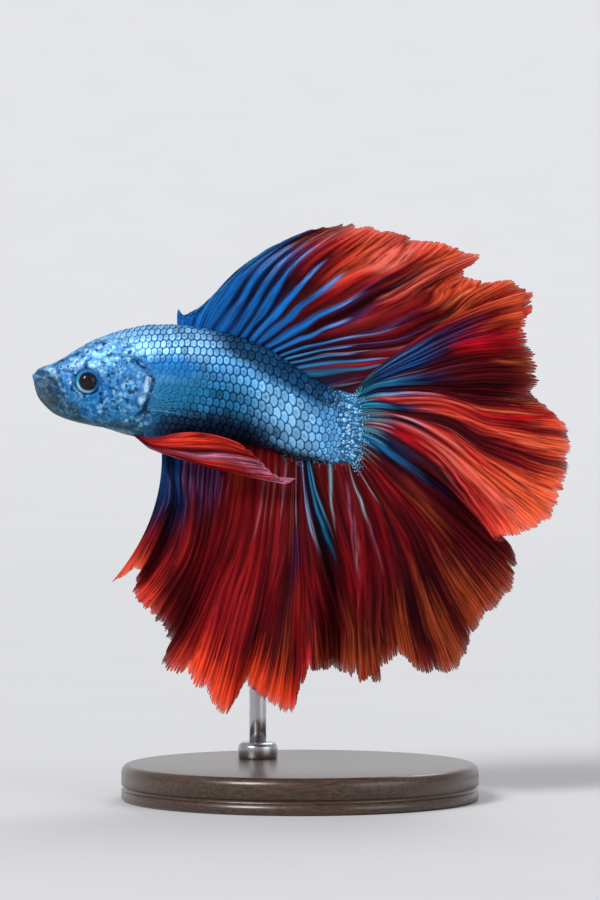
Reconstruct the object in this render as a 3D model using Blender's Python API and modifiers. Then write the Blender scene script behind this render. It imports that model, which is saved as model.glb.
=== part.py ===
"""A male halfmoon betta, life size, swimming with its fins spread, held by a plain display stand.

Metres, +Z up. The fish faces -X and its left side faces -Y. The origin is the middle of the base's
underside. Sizes below are millimetres, and every mesh is scaled by MM as it is made.
"""

import math

import bmesh
import bpy
import numpy as np

MM = 0.001
GAP = 0.3  # clearance between neighbouring solids

# The body, as upright sections from the lips to the tail root.
#    x      back  widest belly  half width
STATIONS = (
    (-37.5, 59.8, 59.3, 58.7, 0.45),  # lips
    (-37.0, 60.2, 58.8, 56.7, 1.05),
    (-36.2, 60.6, 58.4, 55.4, 1.55),
    (-34.2, 61.4, 57.8, 53.6, 2.35),  # corner of the mouth
    (-31.5, 63.0, 57.8, 52.6, 3.10),
    (-29.3, 64.3, 58.0, 52.1, 3.60),  # eyes
    (-27.0, 65.2, 58.1, 51.6, 4.10),
    (-24.0, 66.0, 58.2, 50.7, 4.65),  # gill covers
    (-20.5, 66.6, 58.3, 50.1, 4.95),
    (-17.0, 66.6, 58.3, 50.0, 5.00),  # front of the dorsal fin
    (-12.0, 65.7, 57.9, 50.0, 4.80),
    (-7.5, 64.5, 57.2, 49.7, 4.35),
    (-4.0, 62.9, 56.0, 48.8, 3.90),
    (0.0, 60.1, 54.1, 47.6, 3.30),
    (4.0, 57.9, 52.6, 47.0, 2.60),
    (7.0, 57.0, 52.0, 46.8, 2.00),  # tail root
)
FLANK_FULLNESS = 0.85  # 1 is an ellipse, and less is boxier
TAIL_X = STATIONS[-1][0]
TAIL_ROUND = 1.6  # how far the rounded end of the flesh reaches past TAIL_X
TAIL_LAST = 0.3  # share of the full section at which that end is cut flat

# The rear of the body swings towards the camera side, in a parabola.
BEND_FROM = -15.0
BEND = 4.5

HEAD_END = -21.2
TRUNK_END = 0.4

EYE_AT = (-29.5, 58.4)  # x and z
EYE_RADIUS = 1.95
EYE_PROUD = 0.75  # how far the eyeball stands out of the flank

# Side outline of the lower jaw: it is wider than the jaw in front and below.
JAW_OUTLINE = (
    (-38.5, 59.25),
    (-36.4, 59.0),
    (-35.0, 58.2),
    (-33.4, 55.8),
    (-32.4, 51.8),
    (-38.5, 51.8),
)

GILL_COVER_AT = (-23.9, 57.6)
GILL_COVER_RADII = (3.3, 5.0)  # along X and Z
PLATE_THICKNESS = 0.55

FIN_THICKNESS = 0.56
KNEE = 0.5  # how far out, as a share of a ray, its bend lies

# Each fin is a fan of key rays. share runs along the fin's root, and a ray leaves the body at one
# bearing, in degrees above +X, and its tip lies at another bearing, reach mm away from the root.
# depth is how far the tip lies behind the root (-: towards the camera side), which folds the fin.
#    share leave bearing reach depth
DORSAL_RAYS = (
    (0.00, 95, 85, 1.6, 0.0),
    (0.03, 80, 75, 0.8, 0.0),
    (0.07, 60, 52, 2.6, 0.0),
    (0.11, 62, 54, 6.5, 0.3),
    (0.16, 68, 41, 20.4, 1.5),
    (0.26, 65, 40.5, 22.6, 3.2),
    (0.38, 60, 36, 25.0, 1.2),
    (0.48, 54, 30.5, 27.8, 4.0),
    (0.57, 46, 25, 31.6, 1.8),
    (0.65, 38, 25, 27.4, 4.6),
    (0.73, 31, 22.5, 32.0, 2.2),
    (0.81, 24, 22, 32.4, 4.8),
    (0.90, 16, 21, 30.2, 5.0),
    (1.00, 8, 19, 24.4, 5.5),
)
ANAL_RAYS = (
    (0.00, -86, -110, 20.4, 0.5),
    (0.05, -87, -104.5, 18.0, -1.5),
    (0.12, -88, -109, 22.4, 1.5),
    (0.22, -89, -107, 25.0, -1.5),
    (0.32, -89, -105.5, 28.6, 3.0),
    (0.40, -89, -109, 33.0, 4.0),
    (0.46, -89, -101, 34.6, -2.0),
    (0.53, -88, -98, 37.4, -3.5),
    (0.60, -88, -97, 33.0, -1.0),
    (0.67, -87, -94.5, 34.2, -3.0),
    (0.74, -86, -92.5, 35.2, -2.5),
    (0.80, -85, -90.5, 28.8, -3.5),
    (0.87, -80, -87.5, 28.8, 4.0),
    (0.93, -79, -85.5, 29.6, -1.0),
    (1.00, -77, -81.5, 30.6, 4.0),
)
CAUDAL_RAYS = (
    (0.00, 46, 30, 27.6, -1.0),
    (0.06, 40, 24, 26.0, 0.5),
    (0.12, 36, 18.5, 25.0, 2.0),
    (0.18, 31, 13, 25.4, 3.5),
    (0.24, 26, 8.5, 25.2, 4.5),
    (0.29, 22, 4.5, 24.0, 3.0),
    (0.33, 20, 1.5, 25.6, -5.0),  # the front lobe starts
    (0.38, 15, -2, 28.0, -4.0),
    (0.43, 9, -6.5, 28.6, -5.0),
    (0.48, 2, -13, 28.6, -5.0),
    (0.53, -5, -23, 28.2, -7.0),
    (0.57, -10, -29, 26.0, -8.0),
    (0.61, -13, -36, 22.2, -9.0),  # and ends
    (0.64, -20, -34, 24.8, -2.0),
    (0.68, -27, -37, 27.4, 2.0),
    (0.73, -37, -44.5, 28.4, 0.5),
    (0.78, -46, -51.5, 28.2, -1.0),
    (0.83, -54, -58, 29.8, 1.5),
    (0.88, -60, -64, 31.6, -3.0),
    (0.92, -66, -70.5, 30.8, -1.0),
    (0.96, -72, -76.5, 27.4, 1.5),
    (1.00, -87, -88, 30.2, -2.0),
)
PELVIC_LEFT_RAYS = (
    (0.00, -24, -13.5, 23.4, -2.6),
    (0.25, -20, -15.5, 21.6, -3.2),
    (0.50, -2, -13, 17.8, -4.0),
    (0.75, 15, -7.5, 17.0, -4.6),
    (1.00, 29, -2, 14.2, -4.8),
)
PELVIC_RIGHT_RAYS = (
    (0.00, -32, -24, 19.4, 2.6),
    (0.25, -28, -25, 18.6, 3.0),
    (0.50, -22, -22, 17.2, 3.2),
    (0.75, -14, -18, 15.0, 3.6),
    (1.00, -4, -14, 12.6, 4.0),
)
PECTORAL_RAYS = (  # depth is here how far the tip stands off the flank
    (0.00, 38, 32, 6.4, 1.6),
    (0.25, 24, 20, 8.2, 1.9),
    (0.50, 10, 8, 8.8, 2.0),
    (0.75, -1, -1, 8.2, 1.8),
    (1.00, -10, -10, 6.6, 1.5),
)

DORSAL_ROOT = (-17.2, 6.0)  # first and last x along the back
ANAL_ROOT = (-19.4, 6.0)  # first and last x along the belly
CAUDAL_ROOT = (74, -88)  # bearings of its ends round the tail root's rounded end
PELVIC_ROOT = (-23.4, -21.9)  # x along the throat
PELVIC_APART = 1.3  # each root's distance from the middle plane
PELVIC_FLARE = 0.5  # how much the pelvic fins swing outwards as they leave the throat, for each mm back
PECTORAL_ROOT = (-20.3, 56.2, 54.4)  # x, and the first and last z
PECTORAL_LIFT = 0.65  # how far its root stands off the flank

BASE_RADIUS = 25.0
BASE_HEIGHT = 5.0
BASE_ROUND = 0.9
COLLAR_RADIUS = 2.8
COLLAR_HEIGHT = 2.0
ROD_RADIUS = 1.2
ROD_FOOT = (-6.0, 9.0)  # x and y
ROD_TOP = 56.6
ROD_TURN = 4.2

SKIN = ((0.28, 0.52, 0.80, 1), 0.35, 0.4)
EYE = ((0.02, 0.02, 0.03, 1), 0.08, 0.0)
BLUE_FIN = ((0.10, 0.25, 0.62, 1), 0.4, 0.1)
RED_FIN = ((0.60, 0.05, 0.03, 1), 0.45, 0.0)
CLEAR_FIN = ((0.35, 0.60, 0.75, 1), 0.3, 0.0)
STEEL = ((0.62, 0.62, 0.64, 1), 0.3, 1.0)
DARK_WOOD = ((0.07, 0.035, 0.02, 1), 0.35, 0.0)


# ---------------------------------------------------------------- curves and sections


def eased(xs, ys, at):
    """The monotone cubic curve through the points (xs, ys), read at each place in at."""
    xs, ys = np.asarray(xs, float), np.asarray(ys, float)
    at = np.clip(np.asarray(at, float), xs[0], xs[-1])
    step = np.diff(xs)
    slope = np.diff(ys) / step
    before, after = slope[:-1], slope[1:]
    keeps_on = before * after > 0
    tangent = np.concatenate([slope[:1], np.zeros(len(xs) - 2), slope[-1:]])
    inner = tangent[1:-1]
    inner[keeps_on] = 2 * before[keeps_on] * after[keeps_on] / (before + after)[keeps_on]
    i = np.clip(np.searchsorted(xs, at, side="right") - 1, 0, len(step) - 1)
    t = (at - xs[i]) / step[i]
    start = (1 + 2 * t) * (1 - t) ** 2 * ys[i] + t * (1 - t) ** 2 * step[i] * tangent[i]
    end = t**2 * (3 - 2 * t) * ys[i + 1] + t**2 * (t - 1) * step[i] * tangent[i + 1]
    return start + end


def outline(x):
    """Back, widest level, belly and half width of the body at x, with its rounded end at the tail."""
    table = np.array(STATIONS)
    back, widest, belly, width = (eased(table[:, 0], table[:, k], x) for k in (1, 2, 3, 4))
    past = np.clip((np.asarray(x, float) - TAIL_X) / TAIL_ROUND, 0, 1)
    size = np.sqrt(1 - past**2)
    return widest + (back - widest) * size, widest, widest - (widest - belly) * size, width * size


def spine_y(x):
    """Where the body's middle plane lies at x."""
    return -BEND * (np.clip(np.asarray(x, float) - BEND_FROM, 0, None) / (TAIL_X - BEND_FROM)) ** 2


def spine_slope(x):
    reach = TAIL_X - BEND_FROM
    return -2 * BEND * np.clip(np.asarray(x, float) - BEND_FROM, 0, None) / reach**2


def flank_reach(x, z):
    """Half the body's thickness at x and height z."""
    back, widest, belly, width = outline(x)
    share = np.where(z > widest, (z - widest) / (back - widest), (widest - z) / (widest - belly))
    return width * np.sqrt(np.clip(1 - share**2, 0, 1)) ** FLANK_FULLNESS


def on_flank(x, z, lift, side):
    """The point lift mm off the skin at x and z, on the left flank where side is 1, and else on the right."""
    return np.stack([x, spine_y(x) - side * (flank_reach(x, z) + lift), z], axis=-1)


# ---------------------------------------------------------------- objects


def clear_scene():
    for obj in list(bpy.data.objects):
        bpy.data.objects.remove(obj)


def material(name, look):
    colour, roughness, metallic = look
    made = bpy.data.materials.new(name)
    made.use_nodes = True
    shader = made.node_tree.nodes["Principled BSDF"]
    shader.inputs["Base Color"].default_value = colour
    shader.inputs["Roughness"].default_value = roughness
    shader.inputs["Metallic"].default_value = metallic
    return made


def add_object(name, mesh, collection, look=None, parent=None):
    obj = bpy.data.objects.new(name, mesh)
    collection.objects.link(obj)
    obj.parent = parent
    if look:
        mesh.materials.append(material(name, look))
        mesh.shade_smooth()
    return obj


def mesh_of(name, points, faces):
    """A mesh from points in mm."""
    mesh = bpy.data.meshes.new(name)
    mesh.from_pydata((np.asarray(points) * MM).tolist(), [], faces)
    return mesh


def grid_faces(columns, rows, ring=False):
    """The faces of a grid whose points run along each column in turn. A ring closes on its first column."""
    faces = []
    for i in range(columns if ring else columns - 1):
        here, there = i * rows, (i + 1) % columns * rows
        for j in range(rows - 1):
            faces.append((here + j, there + j, there + j + 1, here + j + 1))
    return faces


def face_outwards(mesh):
    bm = bmesh.new()
    bm.from_mesh(mesh)
    bmesh.ops.recalc_face_normals(bm, faces=bm.faces)
    bm.to_mesh(mesh)
    bm.free()


# ---------------------------------------------------------------- the body


def body_length(name, start, end, sections, collection, parent):
    """The flesh between two x positions, closed at both ends."""
    around = 20
    xs = np.linspace(start, end, sections)
    if end > TAIL_X:
        rounding = np.sqrt(1 - np.array([0.9, 0.65, TAIL_LAST]) ** 2)
        xs = np.concatenate([np.linspace(start, TAIL_X, sections), TAIL_X + TAIL_ROUND * rounding])
    back, widest, belly, width = outline(xs)
    points = []
    for k in range(around):
        angle = 2 * math.pi * k / around
        up = math.sin(angle)
        side = math.copysign(abs(math.cos(angle)) ** FLANK_FULLNESS, math.cos(angle))
        height = widest + up * np.where(up > 0, back - widest, widest - belly)
        points.append(np.stack([xs, spine_y(xs) + side * width, height], axis=-1))
    faces = grid_faces(around, len(xs), ring=True)
    faces.append([k * len(xs) for k in range(around)])
    faces.append([k * len(xs) + len(xs) - 1 for k in range(around)])
    mesh = mesh_of(name, np.concatenate(points), faces)
    face_outwards(mesh)
    return add_object(name, mesh, collection, SKIN, parent)


def prism(name, outline_points, half_width, collection):
    """A cutter with the given side outline, standing across the body."""
    count = len(outline_points)
    points = [(x, y, z) for y in (-half_width, half_width) for x, z in outline_points]
    faces = [list(range(count)), list(range(count, 2 * count))]
    faces += [(k, (k + 1) % count, count + (k + 1) % count, count + k) for k in range(count)]
    mesh = mesh_of(name, points, faces)
    face_outwards(mesh)
    return as_cutter(add_object(name, mesh, collection))


def as_cutter(obj):
    obj.hide_render = True
    obj.display_type = "WIRE"
    return obj


def cut(obj, cutter, operation="DIFFERENCE"):
    modifier = obj.modifiers.new(cutter.name, "BOOLEAN")
    modifier.operation = operation
    modifier.object = cutter


def ball(name, centre, radius, segments, collection, look=None, parent=None):
    bm = bmesh.new()
    bmesh.ops.create_uvsphere(bm, u_segments=segments, v_segments=segments // 2, radius=radius * MM)
    mesh = bpy.data.meshes.new(name)
    bm.to_mesh(mesh)
    bm.free()
    obj = add_object(name, mesh, collection, look, parent)
    obj.location = [value * MM for value in centre]
    obj.rotation_euler.x = math.pi / 2
    return obj


def add_head(collection, cutters, parent):
    """The head with its eye sockets and the opening that the lower jaw fills, and the jaw and eyes."""
    start = STATIONS[0][0]
    head = body_length("head", start, HEAD_END - GAP, 17, collection, parent)
    jaw = body_length("lower_jaw", start, JAW_OUTLINE[4][0] + 1, 10, collection, parent)
    cut(head, prism("jaw_space", JAW_OUTLINE, 8, cutters))
    smaller = [(x - GAP, z - GAP) for x, z in JAW_OUTLINE]
    cut(jaw, prism("jaw_shape", smaller, 9, cutters), "INTERSECT")
    x, z = EYE_AT
    for side, word in ((1, "left"), (-1, "right")):
        depth = float(flank_reach(x, z)) + EYE_PROUD - EYE_RADIUS
        centre = (x, -side * depth, z)
        socket = ball(f"socket_{word}", centre, EYE_RADIUS + GAP, 16, cutters)
        cut(head, as_cutter(socket))
        ball(f"eye_{word}", centre, EYE_RADIUS, 14, collection, EYE, parent)


def add_gill_cover(side, word, collection, parent):
    """A thin round plate that lies on the cheek and ends in the free edge of the gill opening."""
    rings, spokes = 4, 16
    middle_x, middle_z = GILL_COVER_AT
    radius_x, radius_z = GILL_COVER_RADII
    angles = np.linspace(0, 2 * math.pi, spokes, endpoint=False)
    points = [on_flank(np.array([middle_x]), np.array([middle_z]), GAP + 0.1, side)]
    for ring in range(1, rings + 1):
        x = middle_x + radius_x * ring / rings * np.cos(angles)
        z = middle_z + radius_z * ring / rings * np.sin(angles)
        points.append(on_flank(x, z, GAP + 0.1, side))
    faces = [(0, 1 + k, 1 + (k + 1) % spokes) for k in range(spokes)]
    for ring in range(rings - 1):
        inner, outer = 1 + ring * spokes, 1 + (ring + 1) * spokes
        for k in range(spokes):
            after = (k + 1) % spokes
            faces.append((inner + k, outer + k, outer + after, inner + after))
    mesh = mesh_of(f"gill_cover_{word}", np.concatenate(points), faces)
    plate = add_object(f"gill_cover_{word}", mesh, collection, SKIN, parent)
    thicken(plate, PLATE_THICKNESS, offset=side)


# ---------------------------------------------------------------- the fins


def thicken(obj, thickness, offset=0):
    modifier = obj.modifiers.new("thickness", "SOLIDIFY")
    modifier.thickness = thickness * MM
    modifier.offset = offset


def ray_shares(rays, between):
    """Places along the root, with the same number of columns between each two key rays."""
    keys = [ray[0] for ray in rays]
    steps = np.linspace(0, len(keys) - 1, (len(keys) - 1) * between + 1)
    return np.interp(steps, range(len(keys)), keys)


def fan(rays, root, shares, outs, slope=0.0):
    """Points of a fin's middle sheet, by share along its root and out from root (0) to margin (1)."""
    table = np.array(rays, float)
    leave, bearing, reach, depth = (eased(table[:, 0], table[:, k], shares) for k in (1, 2, 3, 4))
    leave, bearing = np.radians(leave), np.radians(bearing)
    start = root(shares)
    tip = start + np.stack([reach * np.cos(bearing), depth, reach * np.sin(bearing)], axis=-1)
    along = np.stack([np.cos(leave), slope * np.cos(leave), np.sin(leave)], axis=-1)
    knee = start + KNEE * reach[:, None] * along
    out = np.asarray(outs)[None, :, None]
    return (
        start[:, None] * (1 - out) ** 2 + knee[:, None] * 2 * out * (1 - out) + tip[:, None] * out**2
    )


def dorsal_root(shares):
    x = np.interp(shares, (0, 1), DORSAL_ROOT)
    return np.stack([x, spine_y(x), outline(x)[0] + GAP + 0.1], axis=-1)


def anal_root(shares):
    x = np.interp(shares, (0, 1), ANAL_ROOT)
    return np.stack([x, spine_y(x), outline(x)[2] - GAP - 0.1], axis=-1)


def caudal_root(shares):
    back, widest, belly, _ = (float(value) for value in outline(TAIL_X))
    angle = np.radians(np.interp(shares, (0, 1), CAUDAL_ROOT))
    high = np.where(angle > 0, back - widest, widest - belly) + GAP + 0.1
    x = TAIL_X + (TAIL_ROUND + GAP) * np.cos(angle)
    return np.stack([x, spine_y(x), widest + high * np.sin(angle)], axis=-1)


def pelvic_root(side):
    def root(shares):
        x = np.interp(shares, (0, 1), PELVIC_ROOT)
        y = np.full_like(x, -side * PELVIC_APART)
        return np.stack([x, y, outline(x)[2] - GAP - 0.1], axis=-1)

    return root


def pectoral_points(side, shares, outs):
    """The pectoral fin follows the flank, and stands further off it towards its margin."""
    x_root, first_z, last_z = PECTORAL_ROOT

    def root(at):
        x = np.full_like(at, x_root)
        return np.stack([x, np.full_like(at, PECTORAL_LIFT), np.interp(at, (0, 1), (first_z, last_z))], -1)

    flat = fan(PECTORAL_RAYS, root, shares, outs)
    return on_flank(flat[..., 0], flat[..., 2], flat[..., 1], side)


def add_fin(name, points, look, collection, parent):
    columns, rows = points.shape[:2]
    mesh = mesh_of(name, points.reshape(-1, 3), grid_faces(columns, rows))
    thicken(add_object(name, mesh, collection, look, parent), FIN_THICKNESS)


def add_fins(collection, parent):
    tail_slope = float(spine_slope(TAIL_X))
    unpaired = (
        ("dorsal_fin", DORSAL_RAYS, dorsal_root, 3, 8, 0.0, BLUE_FIN),
        ("anal_fin", ANAL_RAYS, anal_root, 3, 8, 0.0, RED_FIN),
        ("caudal_fin", CAUDAL_RAYS, caudal_root, 3, 9, tail_slope, RED_FIN),
        ("pelvic_fin_left", PELVIC_LEFT_RAYS, pelvic_root(1), 2, 7, -PELVIC_FLARE, RED_FIN),
        ("pelvic_fin_right", PELVIC_RIGHT_RAYS, pelvic_root(-1), 2, 7, PELVIC_FLARE, RED_FIN),
    )
    for name, rays, root, between, rows, slope, look in unpaired:
        shares = ray_shares(rays, between)
        points = fan(rays, root, shares, np.linspace(0, 1, rows), slope)
        add_fin(name, points, look, collection, parent)
    for side, word in ((1, "left"), (-1, "right")):
        points = pectoral_points(side, ray_shares(PECTORAL_RAYS, 2), np.linspace(0, 1, 6))
        add_fin(f"pectoral_fin_{word}", points, CLEAR_FIN, collection, parent)


# ---------------------------------------------------------------- the stand


def turned(name, profile, steps, look, collection, place):
    """A solid turned round its own Z axis from a profile of (radius, height) that starts and ends on it."""
    mesh = bpy.data.meshes.new(name)
    edges = [(k, k + 1) for k in range(len(profile) - 1)]
    mesh.from_pydata([(radius * MM, 0, height * MM) for radius, height in profile], edges, [])
    obj = add_object(name, mesh, collection, look)
    screw = obj.modifiers.new("turn", "SCREW")
    screw.steps = screw.render_steps = steps
    screw.use_merge_vertices = True
    screw.merge_threshold = 0.00001
    obj.location = [value * MM for value in place]
    return obj


def disc_profile(radius, height, rounding):
    """A disc's profile from the middle of its top to the middle of its underside, with a rounded top edge."""
    arc = [math.radians(angle) for angle in (90, 60, 30, 0)]
    edge = [
        (radius - rounding + rounding * math.cos(a), height - rounding + rounding * math.sin(a))
        for a in arc
    ]
    foot = rounding / 3
    return [(0, height), *edge, (radius, foot), (radius - foot, 0), (0, 0)]


def add_stand(collection):
    foot_x, foot_y = ROD_FOOT
    base = disc_profile(BASE_RADIUS, BASE_HEIGHT, BASE_ROUND)
    turned("stand_base", base, 48, DARK_WOOD, collection, (0, 0, 0))
    collar = disc_profile(COLLAR_RADIUS, COLLAR_HEIGHT, BASE_ROUND)
    turned("stand_collar", collar, 24, STEEL, collection, (foot_x, foot_y, BASE_HEIGHT + GAP))

    flank_y = float(spine_y(foot_x) + flank_reach(foot_x, ROD_TOP))
    path = [(foot_x, foot_y, BASE_HEIGHT + COLLAR_HEIGHT + 2 * GAP)]
    for step in range(9):
        angle = math.pi / 2 * step / 8
        y = foot_y - ROD_TURN * (1 - math.cos(angle))
        path.append((foot_x, y, ROD_TOP - ROD_TURN * (1 - math.sin(angle))))
    path.append((foot_x, flank_y + GAP + 0.1, ROD_TOP))

    curve = bpy.data.curves.new("stand_rod", "CURVE")
    curve.dimensions = "3D"
    curve.bevel_depth = ROD_RADIUS * MM
    curve.bevel_resolution = 3
    curve.use_fill_caps = True
    spline = curve.splines.new("POLY")
    spline.points.add(len(path) - 1)
    for point, (x, y, z) in zip(spline.points, path):
        point.co = (x * MM, y * MM, z * MM, 1)
    rod = bpy.data.objects.new("stand_rod", curve)
    collection.objects.link(rod)
    curve.materials.append(material("stand_rod", STEEL))


def main():
    clear_scene()
    betta = bpy.data.collections.new("betta")
    cutters = bpy.data.collections.new("cutters")
    bpy.context.scene.collection.children.link(betta)
    bpy.context.scene.collection.children.link(cutters)
    fish = bpy.data.objects.new("fish", None)
    betta.objects.link(fish)

    add_head(betta, cutters, fish)
    body_length("trunk", HEAD_END, TRUNK_END - GAP, 18, betta, fish)
    body_length("tail_stem", TRUNK_END, TAIL_X + TAIL_ROUND, 6, betta, fish)
    for side, word in ((1, "left"), (-1, "right")):
        add_gill_cover(side, word, betta, fish)
    add_fins(betta, fish)
    add_stand(betta)


main()
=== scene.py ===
"""The looks of the betta: one skin, its scales, the eyes, rayed fins, the turned stand and a pale studio.

Shapes are worked out in millimetres, in the frame's own axes, and every mesh is scaled by MM.
"""

import math

import bpy
import numpy as np
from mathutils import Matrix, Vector


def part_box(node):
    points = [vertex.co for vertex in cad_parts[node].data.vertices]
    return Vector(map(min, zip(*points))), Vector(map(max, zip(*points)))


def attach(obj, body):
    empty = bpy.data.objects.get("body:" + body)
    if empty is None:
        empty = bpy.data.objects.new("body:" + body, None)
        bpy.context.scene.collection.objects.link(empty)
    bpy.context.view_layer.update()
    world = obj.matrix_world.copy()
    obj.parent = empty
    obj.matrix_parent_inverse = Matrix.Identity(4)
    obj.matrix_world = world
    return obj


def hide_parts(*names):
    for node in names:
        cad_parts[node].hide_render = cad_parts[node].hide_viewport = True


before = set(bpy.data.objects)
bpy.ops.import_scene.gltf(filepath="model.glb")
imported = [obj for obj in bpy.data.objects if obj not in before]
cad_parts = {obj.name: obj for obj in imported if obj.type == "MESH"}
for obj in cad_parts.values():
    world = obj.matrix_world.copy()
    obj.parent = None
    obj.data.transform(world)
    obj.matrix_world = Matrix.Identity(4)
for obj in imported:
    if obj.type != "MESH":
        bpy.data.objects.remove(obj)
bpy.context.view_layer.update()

MM = 0.001
RNG = np.random.default_rng(11)

# ---------------------------------------------------------------- shape, as in the solids

#    x      back  widest belly  half width
STATIONS = (
    (-37.5, 59.8, 59.3, 58.7, 0.45),  # lips
    (-37.0, 60.2, 58.8, 56.7, 1.05),
    (-36.2, 60.6, 58.4, 55.4, 1.55),
    (-34.2, 61.4, 57.8, 53.6, 2.35),  # corner of the mouth
    (-31.5, 63.0, 57.8, 52.6, 3.10),
    (-29.3, 64.3, 58.0, 52.1, 3.60),  # eyes
    (-27.0, 65.2, 58.1, 51.6, 4.10),
    (-24.0, 66.0, 58.2, 50.7, 4.65),  # gill covers
    (-20.5, 66.6, 58.3, 50.1, 4.95),
    (-17.0, 66.6, 58.3, 50.0, 5.00),  # front of the dorsal fin
    (-12.0, 65.7, 57.9, 50.0, 4.80),
    (-7.5, 64.5, 57.2, 49.7, 4.35),
    (-4.0, 62.9, 56.0, 48.8, 3.90),
    (0.0, 60.1, 54.1, 47.6, 3.30),
    (4.0, 57.9, 52.6, 47.0, 2.60),
    (7.0, 57.0, 52.0, 46.8, 2.00),  # tail root
)
FLANK_FULLNESS = 0.85
NOSE_X = STATIONS[0][0]
NOSE_ROUND = 0.9
TAIL_X = STATIONS[-1][0]
TAIL_ROUND = 1.6
BEND_FROM = -15.0  # the x where the tail's curve to the left starts
BEND = 4.5  # and how far it has gone at the tail root
SKIN_DEPTH = 0.22  # how far the skin lies inside the solids
LEAST_HALF = 0.02  # half the least height and width of a section of the skin
SECTION_STEPS = 721
TAIL_TAPER = 0.42  # how much of its width the skin keeps where it meets the tail fin's rays

EYE_AT = (-29.5, 58.4)
EYE_RADIUS = 1.9
EYE_PROUD = 0.75  # how far it stands out of the flank

ROOT_GAP = 0.4  # how far the fins' roots stand off the solids
ROOT_SUNK = 0.9  # and how much deeper they start here, inside the skin
SUNK_OUT = 0.12  # the out from which they follow the solids' own sheet again
KNEE = 0.5  # how far out the point lies that a ray bends by, as a share of its reach

# share, leave, bearing, reach, depth: see fan()
DORSAL_RAYS = (
    (0.00, 95, 85, 1.6, 0.0),
    (0.03, 80, 75, 0.8, 0.0),
    (0.07, 60, 52, 2.6, 0.0),
    (0.11, 62, 54, 6.5, 0.3),
    (0.16, 68, 41, 20.4, 1.5),
    (0.26, 65, 40.5, 22.6, 3.2),
    (0.38, 60, 36, 25.0, 1.2),
    (0.48, 54, 30.5, 27.8, 4.0),
    (0.57, 46, 25, 31.6, 1.8),
    (0.65, 38, 25, 27.4, 4.6),
    (0.73, 31, 22.5, 32.0, 2.2),
    (0.81, 24, 22, 32.4, 4.8),
    (0.90, 16, 21, 30.2, 5.0),
    (1.00, 8, 19, 24.4, 5.5),
)
ANAL_RAYS = (
    (0.00, -86, -110, 20.4, 0.5),
    (0.05, -87, -104.5, 18.0, -1.5),
    (0.12, -88, -109, 22.4, 1.5),
    (0.22, -89, -107, 25.0, -1.5),
    (0.32, -89, -105.5, 28.6, 3.0),
    (0.40, -89, -109, 33.0, 4.0),
    (0.46, -89, -101, 34.6, -2.0),
    (0.53, -88, -98, 37.4, -3.5),
    (0.60, -88, -97, 33.0, -1.0),
    (0.67, -87, -94.5, 34.2, -3.0),
    (0.74, -86, -92.5, 35.2, -2.5),
    (0.80, -85, -90.5, 28.8, -3.5),
    (0.87, -80, -87.5, 28.8, 4.0),
    (0.93, -79, -85.5, 29.6, -1.0),
    (1.00, -77, -81.5, 30.6, 4.0),
)
CAUDAL_RAYS = (
    (0.00, 46, 30, 27.6, -1.0),
    (0.06, 40, 24, 26.0, 0.5),
    (0.12, 36, 18.5, 25.0, 2.0),
    (0.18, 31, 13, 25.4, 3.5),
    (0.24, 26, 8.5, 25.2, 4.5),
    (0.29, 22, 4.5, 24.0, 3.0),
    (0.33, 20, 1.5, 25.6, -5.0),
    (0.38, 15, -2, 28.0, -4.0),
    (0.43, 9, -6.5, 28.6, -5.0),
    (0.48, 2, -13, 28.6, -5.0),
    (0.53, -5, -23, 28.2, -7.0),
    (0.57, -10, -29, 26.0, -8.0),
    (0.61, -13, -36, 22.2, -9.0),
    (0.64, -20, -34, 24.8, -2.0),
    (0.68, -27, -37, 27.4, 2.0),
    (0.73, -37, -44.5, 28.4, 0.5),
    (0.78, -46, -51.5, 28.2, -1.0),
    (0.83, -54, -58, 29.8, 1.5),
    (0.88, -60, -64, 31.6, -3.0),
    (0.92, -66, -70.5, 30.8, -1.0),
    (0.96, -72, -76.5, 27.4, 1.5),
    (1.00, -87, -88, 30.2, -2.0),
)
PELVIC_LEFT_RAYS = (
    (0.00, -24, -13.5, 23.4, -2.6),
    (0.25, -20, -15.2, 22.0, -3.2),
    (0.38, -12, -14.2, 20.6, -3.6),
    (0.50, -3, -12.4, 18.8, -4.0),
    (0.75, 15, -7.8, 16.6, -4.6),
    (1.00, 29, -2, 13.6, -4.8),
)
PELVIC_RIGHT_RAYS = (
    (0.00, -26, -19, 19.0, 2.6),
    (0.25, -24, -20, 18.6, 3.0),
    (0.50, -20, -19, 17.2, 3.2),
    (0.75, -14, -18, 15.0, 3.6),
    (1.00, -4, -14, 12.6, 4.0),
)
PECTORAL_RAYS = (
    (0.00, 38, 32, 6.4, 1.6),
    (0.25, 24, 20, 8.2, 1.9),
    (0.50, 10, 8, 8.8, 2.0),
    (0.75, -1, -1, 8.2, 1.8),
    (1.00, -10, -10, 6.6, 1.5),
)
DORSAL_ROOT = (-17.2, 7.0)  # the x of its two ends, as for the anal and pelvic fins
ANAL_ROOT = (-19.4, 6.9)
CAUDAL_ROOT = (74, -88)  # in degrees round the end of the tail stem
PELVIC_ROOT = (-23.4, -21.9)
PELVIC_APART = 1.3  # half the distance between the two fins' roots
PELVIC_FLARE = 0.5  # how steeply they lean outwards there
PECTORAL_ROOT = (-20.3, 56.2, 54.4)  # its x, and the z of its two ends
PECTORAL_LIFT = 0.65  # how far the root stands off the flank

# ---------------------------------------------------------------- small tools


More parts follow.
